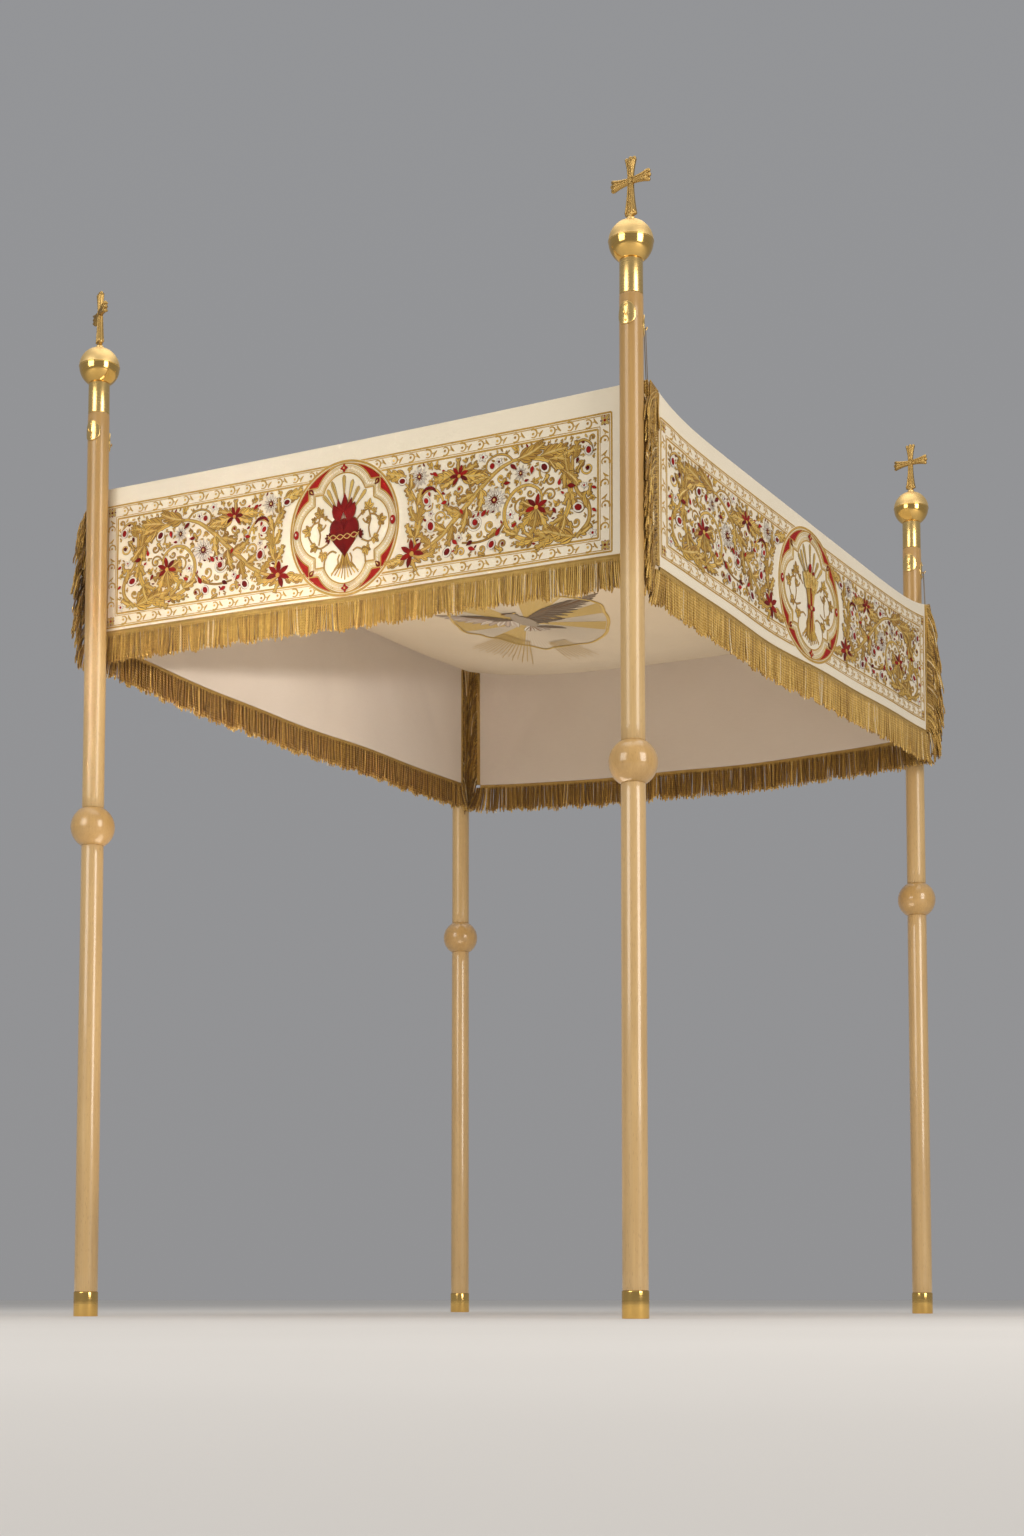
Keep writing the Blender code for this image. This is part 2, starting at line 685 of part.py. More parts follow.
def add_pole(corner, materials, collection, shared):
    pole = bpy.data.objects.new(f"pole_{corner.name}", None)
    pole.location = pole_place(corner)
    collection.objects.link(pole)
    turned = (
        ("ferrule", ferrule_profile(), "brass"),
        ("lower_pole", lower_pole_profile(), "wood"),
        ("pole_ball", pole_ball_profile(), "wood"),
        ("upper_pole", upper_pole_profile(), "wood"),
        ("collar", collar_profile(), "brass"),
        ("finial_ball", finial_ball_profile(), "brass"),
    )
    for kind, points, finish in turned:
        add_turned(f"{kind}_{corner.name}", points, materials[finish], collection, pole)
    add_cross(corner, shared["cross"], materials["brass"], collection, pole)
    plates = (
        ("hanger_plate", corner.hanger_turn, HANGER_PLATE_HEIGHT),
        ("spare_plate", corner.spare_turn, SPARE_PLATE_HEIGHT),
    )
    for kind, turn, height in plates:
        name = f"{kind}_{corner.name}"
        add_plate(name, shared["plate"], turn, height, materials["brass"], collection, pole)


def main():
    clear_scene()
    canopy = make_collection("processional_canopy")
    guides = make_collection("guides")
    materials = {
        "cloth": make_material("ivory_cloth", IVORY, 0.55),
        "gold": make_material("gold_fringe", GOLD_THREAD, 0.45, 0.3),
        "wood": make_material("pale_wood", PALE_WOOD, 0.35),
        "brass": make_material("polished_brass", BRASS, 0.15, 1.0),
        "cord": make_material("grey_cord", GREY_CORD, 0.8),
    }
    shared = {"cross": cross_curve(), "plate": hook_plate_mesh(materials["brass"], guides)}
    for corner in CORNERS:
        add_pole(corner, materials, canopy, shared)
        add_hanger_cord(corner, materials["cord"], canopy)
    add_ceiling(materials["cloth"], canopy)
    chance = random.Random(11)
    for side in SIDES:
        add_valance(side, materials["cloth"], canopy)
        add_hem_fringe(side, materials["gold"], canopy, chance)
        for at_end in (False, True):
            add_edge_fringe(side, at_end, materials["gold"], canopy)


main()
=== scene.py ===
"""The looks of the processional canopy: cloth, embroidery, fringe, turned wood and brass."""

import math
import random
from collections import namedtuple

import bpy
import numpy as np
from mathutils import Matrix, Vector


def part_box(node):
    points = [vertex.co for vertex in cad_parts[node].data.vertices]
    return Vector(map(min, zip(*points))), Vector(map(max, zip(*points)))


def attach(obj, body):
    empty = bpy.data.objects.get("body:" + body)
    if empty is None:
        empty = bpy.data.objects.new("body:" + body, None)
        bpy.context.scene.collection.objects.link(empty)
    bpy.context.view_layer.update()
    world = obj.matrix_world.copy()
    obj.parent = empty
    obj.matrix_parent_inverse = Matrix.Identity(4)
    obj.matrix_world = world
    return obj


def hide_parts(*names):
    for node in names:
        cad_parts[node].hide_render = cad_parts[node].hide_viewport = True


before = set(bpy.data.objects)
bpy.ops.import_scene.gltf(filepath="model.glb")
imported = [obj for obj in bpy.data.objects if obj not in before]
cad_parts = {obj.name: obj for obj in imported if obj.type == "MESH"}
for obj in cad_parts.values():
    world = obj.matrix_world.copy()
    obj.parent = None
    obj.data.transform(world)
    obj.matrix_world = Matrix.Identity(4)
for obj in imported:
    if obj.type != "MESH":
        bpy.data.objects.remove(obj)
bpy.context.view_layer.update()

# Sizes shared with the solid model, in metres
CANOPY_WIDTH = 1.45
CANOPY_DEPTH = 1.80
HALF_W, HALF_D = CANOPY_WIDTH / 2, CANOPY_DEPTH / 2
CANOPY_CENTRE_X = 0.0335
CORNER_HEIGHT = 1.940
CEILING_THICKNESS = 0.0025
CEILING_BELLY = 0.105
BELLY_POWER = 0.75
CEILING_RIPPLE = 0.004
SEAM_GAP = 0.0010
CORNER_NOTCH = 0.040
VALANCE_DROP = 0.36
CORNERS = ("front_left", "front_right", "back_right", "back_left")

# Each side's start, direction, length, sag of its top edge, drop at its start, middle and end, lock length and wave
Side = namedtuple("Side", "name sx sy ax ay length sag squareness drops lock wave phase")
SIDES = (
    Side("front", -HALF_W, -HALF_D, 1, 0, CANOPY_WIDTH, 0.004, 2, (0.340, 0.350, 0.360), 0.062, 0.005, 0.4),
    Side("right", HALF_W, -HALF_D, 0, 1, CANOPY_DEPTH, 0.038, 8, (0.384, 0.385, 0.358), 0.072, 0.008, 1.9),
    Side("back", HALF_W, HALF_D, -1, 0, CANOPY_WIDTH, 0.046, 4, (0.362, 0.384, 0.350), 0.068, 0.011, 0.0),
    Side("left", -HALF_W, HALF_D, 0, -1, CANOPY_DEPTH, 0.014, 4, (0.350, 0.360, 0.345), 0.066, 0.010, 2.6),
)
FRONT, RIGHT, BACK, LEFT = SIDES

# Soft creases of each side: distance, share of depth, direction in degrees, length, width, height
CREASES = {
    "front": ((0.10, 0.10, -12, 0.16, 0.020, 0.0014), (0.46, 0.06, 3, 0.30, 0.014, 0.0010),
              (1.02, 0.07, -2, 0.34, 0.015, -0.0012), (1.36, 0.14, 20, 0.12, 0.016, 0.0014),
              (0.72, 0.93, 0, 0.50, 0.016, 0.0012)),
    "right": ((0.10, 0.12, -26, 0.20, 0.022, 0.0022), (0.30, 0.05, -8, 0.26, 0.014, -0.0012),
              (0.62, 0.92, 2, 0.40, 0.014, 0.0016), (1.22, 0.94, -3, 0.36, 0.014, -0.0014),
              (1.10, 0.05, 4, 0.40, 0.014, 0.0012), (1.66, 0.18, 24, 0.16, 0.020, 0.0020),
              (0.16, 0.93, 8, 0.18, 0.014, 0.0020)),
    "back": ((0.20, 0.40, 62, 0.22, 0.030, 0.0034), (0.38, 0.62, 78, 0.20, 0.026, -0.0026),
             (0.56, 0.34, -84, 0.18, 0.024, 0.0020), (0.80, 0.60, 86, 0.22, 0.030, 0.0026),
             (1.06, 0.38, -70, 0.20, 0.030, -0.0030), (1.26, 0.50, -58, 0.24, 0.030, 0.0034)),
    "left": ((1.68, 0.30, -56, 0.22, 0.024, 0.0036), (1.58, 0.52, -64, 0.24, 0.022, -0.0030),
             (1.48, 0.34, -72, 0.20, 0.024, 0.0030), (1.30, 0.55, -80, 0.22, 0.030, 0.0026),
             (1.05, 0.42, 84, 0.22, 0.034, -0.0024), (0.76, 0.55, 80, 0.24, 0.036, 0.0026),
             (0.45, 0.40, 70, 0.20, 0.030, -0.0026), (0.20, 0.50, 60, 0.24, 0.030, 0.0032)),
}
# The same for the ceiling, placed from its middle
CEILING_CREASES = (
    (-0.34, 0.38, 24, 0.46, 0.030, 0.0034), (0.10, 0.52, -8, 0.60, 0.032, -0.0030),
    (-0.12, 0.66, 6, 0.70, 0.026, 0.0032), (-0.46, -0.05, 82, 0.56, 0.034, 0.0034),
    (0.42, 0.12, 97, 0.64, 0.034, 0.0034), (0.06, -0.46, -4, 0.60, 0.036, 0.0032),
    (-0.52, 0.62, 48, 0.34, 0.026, -0.0034), (0.50, -0.62, 50, 0.34, 0.030, 0.0030),
    (0.40, 0.58, -38, 0.36, 0.028, 0.0034), (-0.44, -0.64, -46, 0.36, 0.030, 0.0030),
)


def cos_sin(degrees):
    angle = math.radians(degrees)
    return math.cos(angle), math.sin(angle)


def link_object(name, data):
    obj = bpy.data.objects.new(name, data)
    bpy.context.scene.collection.objects.link(obj)
    return obj


# Camera and lights

PHOTO_HEIGHT = 1536
CAMERA_SHIFT = 338


def add_camera():
    data = bpy.data.cameras.new("camera")
    data.lens = 55.16
    data.sensor_width = 36.0
    data.shift_y = CAMERA_SHIFT / PHOTO_HEIGHT
    data.clip_end = 200.0
    camera = link_object("camera", data)
    camera.location = (2.774, -5.206, 0.04)
    camera.rotation_euler = (math.pi / 2 + 0.0817, 0.0, 0.4973)
    bpy.context.scene.camera = camera


def add_area_light(name, place, target, size, power, colour, spread=math.pi):
    data = bpy.data.lights.new(name, "AREA")
    data.shape = "RECTANGLE"
    data.size, data.size_y = size
    data.energy = power
    data.color = colour
    data.spread = spread
    light = link_object(name, data)
    light.location = place
    light.rotation_euler = (Vector(target) - Vector(place)).to_track_quat("-Z", "Y").to_euler()
    light.visible_camera = False


# Materials

class Nodes:
    """Short ways to add shader nodes to a tree; a value is a socket or a constant."""

    def __init__(self, tree):
        self.tree = tree

    def add(self, kind, **settings):
        node = self.tree.nodes.new(kind)
        for name, value in settings.items():
            setattr(node, name, value)
        return node

    def join(self, value, socket):
        if isinstance(value, bpy.types.NodeSocket):
            self.tree.links.new(value, socket)
        else:
            socket.default_value = value

    def put(self, node, **values):
        for name, value in values.items():
            self.join(value, node.inputs[name.replace("_", " ")])
        return node

    def place(self, stretch=(1.0, 1.0, 1.0)):
        """Object coordinates, stretched."""
        source = self.add("ShaderNodeTexCoord").outputs["Object"]
        return self.put(self.add("ShaderNodeMapping"), Scale=stretch, Vector=source).outputs["Vector"]

    def split(self, vector):
        return self.put(self.add("ShaderNodeSeparateXYZ"), Vector=vector).outputs

    def uv(self):
        return self.split(self.add("ShaderNodeUVMap", uv_map="thread").outputs["UV"])[:2]

    def shade(self):
        return self.add("ShaderNodeAttribute", attribute_name="shade").outputs["Fac"]

    def noise(self, vector, scale, detail=3.0, roughness=0.5):
        node = self.add("ShaderNodeTexNoise")
        return self.put(node, Vector=vector, Scale=scale, Detail=detail, Roughness=roughness).outputs["Fac"]

    def math(self, kind, *values):
        node = self.add("ShaderNodeMath", operation=kind)
        for value, socket in zip(values, node.inputs):
            self.join(value, socket)
        return node.outputs[0]

    def blend(self, *terms, base=None):
        """The sum of each value times its weight, and of a base."""
        total = base
        for value, weight in terms:
            part = self.math("MULTIPLY", value, weight)
            total = part if total is None else self.math("ADD", total, part)
        return total

    def wave(self, turns):
        return self.math("SINE", self.math("MULTIPLY", turns, 2 * math.pi))

    def ramp(self, value, *stops):
        node = self.put(self.add("ShaderNodeValToRGB"), Fac=value)
        elements = node.color_ramp.elements
        while len(elements) < len(stops):
            elements.new(0.5)
        for element, (place, colour) in zip(elements, stops):
            element.position = place
            element.color = (*colour, 1.0) if isinstance(colour, tuple) else (colour, colour, colour, 1.0)
        return node.outputs["Color"]

    def between(self, value, low, high):
        return self.ramp(value, (0.25, low), (0.75, high))

    def mix(self, share, first, second, kind="MIX"):
        """second is a colour."""
        node = self.add("ShaderNodeMix", data_type="RGBA", blend_type=kind)
        for number, value in ((0, share), (6, first), (7, (*second, 1.0))):
            self.join(value, node.inputs[number])
        return node.outputs[2]

    def bump(self, height, distance, strength, **normal):
        node = self.add("ShaderNodeBump")
        return self.put(node, Height=height, Distance=distance, Strength=strength, **normal).outputs["Normal"]


def new_material(name, **constants):
    material = bpy.data.materials.new(name)
    material.use_nodes = True
    nodes = Nodes(material.node_tree)
    shader = nodes.put(material.node_tree.nodes["Principled BSDF"], **constants)
    return material, nodes, shader


def weave(nodes, pitch, strength, depth):
    """The fine over and under of a plain weave, from two sets of threads."""
    x, y, z = nodes.split(nodes.place())
    turn = 2 * math.pi / pitch
    warp = nodes.math("SINE", nodes.math("MULTIPLY", nodes.math("ADD", x, y), turn))
    weft = nodes.math("SINE", nodes.math("MULTIPLY", z, turn))
    return nodes.bump(nodes.math("MULTIPLY", warp, weft), depth, strength)


def cloth_material(name, low, high, roughness, sheen, soft_strength):
    material, nodes, shader = new_material(name, Sheen_Weight=sheen, Sheen_Roughness=0.4, Specular_IOR_Level=0.35)
    broad = nodes.noise(nodes.place(), 3.0, 4.0)
    slubs = nodes.noise(nodes.place((1.0, 1.0, 14.0)), 40.0)
    soft = nodes.noise(nodes.place((1.0, 1.0, 0.7)), 9.0)
    fine = weave(nodes, 0.0011, 0.35, 0.0004)
    nodes.put(shader, Base_Color=nodes.between(nodes.blend((broad, 0.7), (slubs, 0.3)), low, high),
              Roughness=nodes.blend((slubs, 0.12), base=roughness - 0.06),
              Normal=nodes.bump(soft, 0.01, soft_strength, Normal=fine))
    return material


def thread_material(name, low, high, roughness, metallic, pitch, slant, sheen=0.0, specular=0.5):
    """Laid thread: fine ridges run across the stroke, and the tone changes from stroke to stroke."""
    material, nodes, shader = new_material(name, Metallic=metallic, Sheen_Weight=sheen, Specular_IOR_Level=specular)
    across, along = nodes.uv()
    drift = nodes.noise(nodes.place(), 60.0, 2.0)
    phase = nodes.blend((along, 1 / pitch), (across, slant / pitch))
    wave = nodes.wave(nodes.math("ADD", phase, drift))
    # The ridges' wave also lightens the colour along each ridge: a painted highlight.
    tone = nodes.blend((nodes.shade(), 0.72), (drift, 0.28), (wave, 0.10))
    nodes.put(shader, Base_Color=nodes.between(tone, low, high), Normal=nodes.bump(wave, 0.0005, 0.6),
              Roughness=nodes.blend((drift, 0.2), base=roughness - 0.1))
    return material


def wood_material(name, low, high, coat, painted_shade_above=None):
    """Long grain and short dark flecks under varnish; above a given height the colour is darkened, a painted shade on
    the pole's head.
    """
    material, nodes, shader = new_material(
        name, Coat_Weight=coat, Coat_Roughness=0.09, Coat_IOR=1.5, Specular_IOR_Level=0.4)
    broad = nodes.noise(nodes.place((6.0, 6.0, 0.7)), 6.0, 4.0, 0.6)
    grain = nodes.noise(nodes.place((60.0, 60.0, 1.6)), 3.0, 5.0, 0.65)
    flecks = nodes.add("ShaderNodeTexVoronoi")
    nodes.put(flecks, Vector=nodes.place((330.0, 330.0, 42.0)), Scale=1.0, Randomness=1.0)
    fleck = nodes.ramp(flecks.outputs["Distance"], (0.10, 0.0), (0.24, 1.0))
    colour = nodes.between(nodes.blend((broad, 0.55), (grain, 0.45)), low, high)
    if painted_shade_above:
        # Painted shade: above painted_shade_above the colour is multiplied darker, standing in for the shade on the
        # upper shafts.
        fade_length = 0.14
        rise = nodes.math("SUBTRACT", nodes.split(nodes.place())[2], painted_shade_above)
        share = nodes.ramp(nodes.math("MULTIPLY", rise, 1 / fade_length), (0.0, 0.0), (1.0, 1.0))
        colour = nodes.mix(share, colour, (0.79, 0.70, 0.54), "MULTIPLY")
    dark = tuple(0.62 * c for c in low)
    colour = nodes.mix(nodes.math("MULTIPLY", nodes.math("SUBTRACT", 1.0, fleck), 0.45), colour, dark)
    nodes.put(shader, Base_Color=colour, Roughness=nodes.blend((grain, 0.18), base=0.26),
              Normal=nodes.bump(grain, 0.0006, 0.25))
    return material


def brass_material(name, colour, dark, roughness, scratches):
    material, nodes, shader = new_material(name, Metallic=1.0)
    broad = nodes.noise(nodes.place(), 14.0, 4.0, 0.6)
    turned = nodes.noise(nodes.place((8.0, 8.0, 900.0)), 1.0, 2.0)
    tone = nodes.blend((broad, 0.7), (turned, 0.3))
    nodes.put(shader, Base_Color=nodes.between(tone, dark, colour), Normal=nodes.bump(turned, 0.0002, scratches),
              Roughness=nodes.blend((tone, 0.14), base=roughness - 0.07))
    return material


def fringe_material(name, low, middle, high, silvery):
    """Twisted metal thread: slanting ridges, a tone for each strand, painted glints and painted highlights along the
    twist in the colour, and a few silvery strands.
    """
    material, nodes, shader = new_material(name, Metallic=0.42, Sheen_Weight=0.1, Specular_IOR_Level=0.6)
    around, along = nodes.uv()
    wave = nodes.wave(nodes.blend((around, 2.0), (along, 1 / 0.0062)))
    drift = nodes.noise(nodes.place(), 45.0, 2.0)
    painted_glint = nodes.noise(nodes.place((1.0, 1.0, 0.5)), 300.0, 1.0)
    # Painted glints from the fine speckle noise, and a painted highlight along each twist ridge from the wave, are
    # added to the colour.
    tone = nodes.blend((nodes.shade(), 0.72), (drift, 0.10), (nodes.math("SUBTRACT", painted_glint, 0.36), 0.50), (wave, 0.12))
    nodes.put(shader, Base_Color=nodes.ramp(tone, (0.12, low), (0.50, middle), (0.86, high), (0.97, silvery)),
              Roughness=nodes.blend((drift, 0.22), base=0.28), Normal=nodes.bump(wave, 0.0008, 0.7))
    return material


def braid_material(name, low, high):
    """A woven band: small chevrons in metal thread."""
    material, nodes, shader = new_material(name, Metallic=0.5)
    across, along = nodes.uv()
    share = nodes.math("FRACT", nodes.math("MULTIPLY", along, 1 / 0.010))
    bend = nodes.math("ABSOLUTE", nodes.math("SUBTRACT", share, 0.5))
    wave = nodes.wave(nodes.blend((across, 1 / 0.0024), (bend, 3.0)))
    drift = nodes.noise(nodes.place(), 50.0, 2.0)
    # The wave gives the woven chevrons and also lightens their ridges in the colour: partly the braid's pattern, partly
    # a painted highlight.
    nodes.put(shader, Base_Color=nodes.between(nodes.blend((drift, 0.3), (wave, 0.22), base=0.35), low, high),
              Roughness=nodes.blend((drift, 0.2), base=0.32), Normal=nodes.bump(wave, 0.0009, 0.7))
    return material


MATERIALS = {
    "ground": cloth_material("medallion_ground", (0.74, 0.66, 0.51), (0.81, 0.73, 0.58), 0.46, 0.25, 0.10),
    "cloth": cloth_material("ivory_satin", (0.74, 0.655, 0.505), (0.81, 0.725, 0.57), 0.46, 0.25, 0.10),
    "lining": cloth_material("greige_lining", (0.64, 0.56, 0.48), (0.715, 0.635, 0.555), 0.60, 0.20, 0.16),
    "ceiling": cloth_material("ceiling_lining", (0.65, 0.53, 0.37), (0.725, 0.60, 0.43), 0.60, 0.20, 0.16),
    "gold": thread_material("gold_thread", (0.37, 0.188, 0.018), (0.78, 0.49, 0.088), 0.42, 0.12, 0.0010, 0.5),
    "light_gold": thread_material("pale_gold_thread", (0.52, 0.33, 0.07), (0.80, 0.59, 0.21), 0.36, 0.20, 0.0010, 0.5),
    "brown": thread_material("brown_outline_thread", (0.12, 0.052, 0.009), (0.25, 0.12, 0.022), 0.60, 0.0, 0.0012, 1.0),
    "red": thread_material("red_silk_thread", (0.105, 0.002, 0.002), (0.40, 0.009, 0.006), 0.50, 0.0, 0.0010, 0.4,
                           0.0, 0.15),
    "white": thread_material("white_silk_thread", (0.72, 0.64, 0.53), (0.88, 0.82, 0.70), 0.45, 0.0, 0.0010, 0.4, 0.3),
    "lilac": thread_material("grey_silk_thread", (0.42, 0.30, 0.22), (0.64, 0.51, 0.40), 0.50, 0.0, 0.0010, 0.4, 0.2),
    "ochre": thread_material("ochre_silk_thread", (0.56, 0.37, 0.09), (0.72, 0.51, 0.18), 0.55, 0.0, 0.0012, 0.4, 0.1),
    "silver": thread_material("grey_brown_thread", (0.19, 0.145, 0.10), (0.43, 0.35, 0.26), 0.50, 0.05, 0.0012, 0.5),
    "fringe": fringe_material("gold_bullion", (0.15, 0.07, 0.01), (0.50, 0.285, 0.048), (0.90, 0.62, 0.18),
                              (0.72, 0.62, 0.46)),
    "braid": braid_material("gold_braid", (0.33, 0.18, 0.03), (0.80, 0.54, 0.17)),
    # The upper shafts are painted darker above 1.50 m: painted shade.
    "wood": wood_material("pale_beech", (0.44, 0.285, 0.12), (0.61, 0.42, 0.19), 0.35, 1.50),
    "glossy_wood": wood_material("varnished_beech", (0.45, 0.285, 0.118), (0.62, 0.42, 0.185), 0.85),
    "ball_wood": wood_material("oiled_beech", (0.40, 0.235, 0.08), (0.56, 0.35, 0.125), 0.85),
    "brass": brass_material("polished_brass", (0.86, 0.57, 0.19), (0.74, 0.46, 0.13), 0.12, 0.15),
    "collar_brass": brass_material("brushed_brass", (0.88, 0.63, 0.26), (0.80, 0.54, 0.19), 0.27, 0.30),
    "cross_brass": brass_material("cast_brass", (0.60, 0.405, 0.145), (0.42, 0.265, 0.085), 0.44, 0.0),
    "satin_brass": brass_material("satin_brass", (0.92, 0.68, 0.32), (0.84, 0.59, 0.24), 0.50, 0.30),
    "cord": thread_material("grey_cord", (0.19, 0.15, 0.11), (0.40, 0.33, 0.25), 0.75, 0.0, 0.0028, 1.0),
}


# Mesh building

class Piece:
    """Gathers grids of points into one object with thread coordinates, shades and materials."""

    def __init__(self, name, slot, *finishes):
        self.name, self.slot, self.finishes = name, slot, finishes
        self.parts, self.count = [], 0

    def grid(self, points, uv=None, shade=0.5, finish=None, around=False, flip=False):
        """points has rows and columns; around joins the last column to the first."""
        points = np.asarray(points, float)
        rows, columns = points.shape[:2]
        index = self.count + np.arange(rows * columns).reshape(rows, columns)
        if around:
            index = np.concatenate([index, index[:, :1]], 1)
        quads = np.stack([index[:-1, :-1], index[:-1, 1:], index[1:, 1:], index[1:, :-1]], -1).reshape(-1, 4)
        if flip:
            quads = quads[:, ::-1]
        if uv is None:
            uv = np.zeros((rows, columns, 2))
        number = self.finishes.index(finish) if finish else 0
        self.parts.append((points.reshape(-1, 3), quads, np.reshape(uv, (-1, 2)), np.full(rows * columns, shade, float),
                           np.full(len(quads), number)))
        self.count += rows * columns

    def make(self, *nodes):
        points, quads, uvs, shades, numbers = (np.concatenate(column) for column in zip(*self.parts))
        mesh = bpy.data.meshes.new(self.name)
        mesh.from_pydata(points.tolist(), [], quads.tolist())
        corners = np.zeros(len(mesh.loops), np.int32)
        mesh.loops.foreach_get("vertex_index", corners)
        mesh.uv_layers.new(name="thread").data.foreach_set("uv", uvs[corners].astype(np.float32).ravel())
        mesh.attributes.new("shade", "FLOAT", "POINT").data.foreach_set("value", shades.astype(np.float32))
        for finish in self.finishes:
            mesh.materials.append(MATERIALS[finish])
        mesh.polygons.foreach_set("material_index", numbers.astype(np.int32))
        mesh.polygons.foreach_set("use_smooth", np.ones(len(quads), bool))
        mesh.validate()
        mesh.update()
        obj = link_object(self.name, mesh)
        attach(obj, "root")
        if nodes:
            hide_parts(*nodes)
        return obj


def unit(rows):
    return rows / (np.linalg.norm(rows, axis=1, keepdims=True) + 1e-12)


def run_along(path):
    """The distance along a path at each of its points."""
    return np.concatenate([[0.0], np.cumsum(np.linalg.norm(np.diff(path, axis=0), axis=1))])


def uv_grid(across, along):
    return np.stack(np.broadcast_arrays(across, np.asarray(along)[:, None]), -1)


def tube(piece, path, radii, sides, finish=None, shade=0.5, lobes=0.0, twist=0.0, root_cap=True, cyclic=False):
    """A tube along a path; lobes and twist make it a twisted two-ply cord."""
    path = np.asarray(path, float)
    tangent = unit(np.roll(path, -1, 0) - np.roll(path, 1, 0) if cyclic else np.gradient(path, axis=0))
    helper = np.where(np.abs(tangent[:, 2:3]) > 0.8, (1.0, 0.0, 0.0), (0.0, 0.0, 1.0))
    first = unit(np.cross(helper, tangent))
    second = np.cross(tangent, first)
    along = run_along(path)
    angle = np.arange(sides) * 2 * math.pi / sides
    swell = 1.0 + lobes * np.cos(2 * (angle - (along * twist)[:, None]))
    radius = np.broadcast_to(np.asarray(radii, float), len(path))[:, None] * swell
    ring = path[:, None, :] + radius[..., None] * (
        np.cos(angle)[None, :, None] * first[:, None, :] + np.sin(angle)[None, :, None] * second[:, None, :])
    uv = uv_grid(angle / (2 * math.pi), along)
    if cyclic:
        ring, uv = (np.concatenate([rows, rows[:1]]) for rows in (ring, uv))
    else:
        caps = [path[k][None, None, :] + (ring[k][None] - path[k]) * 0.02 for k in (0, -1)]
        ring = np.concatenate((caps[:1] if root_cap else []) + [ring, caps[1]])
        uv = np.concatenate(([uv[:1]] if root_cap else []) + [uv, uv[-1:]])
    piece.grid(ring, uv, shade, finish, around=True)


def lathe(piece, centre, profile, sides, finish=None):
    """Turned about a vertical axis; profile runs up the outer side as (radius, height)."""
    profile = np.asarray(profile, float)
    angle = np.arange(sides) * 2 * math.pi / sides
    x = centre[0] + profile[:, :1] * np.cos(angle)
    y = centre[1] + profile[:, :1] * np.sin(angle)
    z = np.broadcast_to(profile[:, 1:], x.shape)
    piece.grid(np.stack([x, y, z], -1), uv_grid(angle / (2 * math.pi), run_along(profile)), 0.5, finish, around=True)


# The cloth's shape

def fold(dx, dy, bow, degrees, length, width, rise):
    """The height of one soft crease at dx and dy from its middle; bow bends it."""
    cosine, sine = cos_sin(degrees)
    run = dx * cosine + dy * sine
    off = -dx * sine + dy * cosine + bow * run * run / length
    return rise * np.exp(-(off / width) ** 2 - (2.0 * run / length) ** 2)


def edge_height(side, share):
    return CORNER_HEIGHT - side.sag * (1.0 - np.abs(2.0 * share - 1.0) ** side.squareness)


def hem_height(side, share):
    start, middle, end = side.drops
    bulge = 4.0 * middle - 2.0 * (start + end)
    return CORNER_HEIGHT - (start + (end - start) * share + bulge * share * (1.0 - share))


def sway(side, share):
    slow = np.sin(2.6 * math.pi * share + side.phase)
    quick = 0.45 * np.sin(6.6 * math.pi * share + 1.7 * side.phase)
    return side.wave * (slow + quick) * 4.0 * share * (1.0 - share)


def creased(side, distance, depth):
    """How far the soft creases push the cloth out at a place."""
    height = depth * VALANCE_DROP
    return sum(fold(distance - place, share * VALANCE_DROP - height, 0.06, *shape)
               for place, share, *shape in CREASES[side.name])


def side_places(side, distance, depth, out=0.0, drop=0.0):
    """Points of a side; depth is 0 at the top edge and 1 at the hem, out is measured from its seam."""
    distance, depth, out, drop = np.broadcast_arrays(*(np.asarray(v, float) for v in (distance, depth, out, drop)))
    share = distance / side.length
    top = edge_height(side, share) + CEILING_THICKNESS / 2
    height = top + (hem_height(side, share) - top) * depth - drop
    away = SEAM_GAP + out + sway(side, share) * depth ** 1.5 + creased(side, distance, depth)
    x = CANOPY_CENTRE_X + side.sx + side.ax * distance + side.ay * away
    y = side.sy + side.ay * distance - side.ax * away
    return np.stack([x, y, height], -1)


def ceiling_places(x, y, lift=0.0):
    """Points of the ceiling sheet, x and y measured from its middle."""
    x, y = np.broadcast_arrays(np.asarray(x, float), np.asarray(y, float))
    u, v = np.clip(x / HALF_W, -1, 1), np.clip(y / HALF_D, -1, 1)
    across, deep = (1 + u) / 2, (1 + v) / 2
    by_depth = edge_height(FRONT, across) * (1 - deep) + edge_height(BACK, 1 - across) * deep
    by_width = edge_height(LEFT, 1 - deep) * (1 - across) + edge_height(RIGHT, deep) * across
    dome = np.maximum((1 - u * u) * (1 - v * v), 0.0) ** BELLY_POWER
    ripple = CEILING_RIPPLE * np.sin(3.0 * u + 9.0 * v) * (1 - u * u) * (1 - v * v)
    height = by_depth + by_width - CORNER_HEIGHT - CEILING_BELLY * dome + ripple
    px, py = u * HALF_W, v * HALF_D
    total = sum(fold(px - fx, py - fy, 0.08, *shape) for fx, fy, *shape in CEILING_CREASES)
    creases = 1.5 * total * (1 - (px / HALF_W) ** 2) * (1 - (py / HALF_D) ** 2)
    return np.stack([CANOPY_CENTRE_X + x, y, height + creases + lift], -1)


SHEET_HALF = 0.0009
SHEET_MIDDLE = 0.0015
TOP_OF_CLOTH = SHEET_MIDDLE + SHEET_HALF


def sheet_loop(piece, front, back, uv, inner):
    """A thin closed sheet from its two faces, with a narrow rim round all four edges."""
    piece.grid(front, uv, 0.5, "cloth")
    piece.grid(back, uv, 0.5, inner, flip=True)
    for rim in ((back[0], front[0]), (front[-1], back[-1])):
        piece.grid(np.stack(rim))
    for rim in ((front[:, 0], back[:, 0]), (back[:, -1], front[:, -1])):
        piece.grid(np.stack(rim))


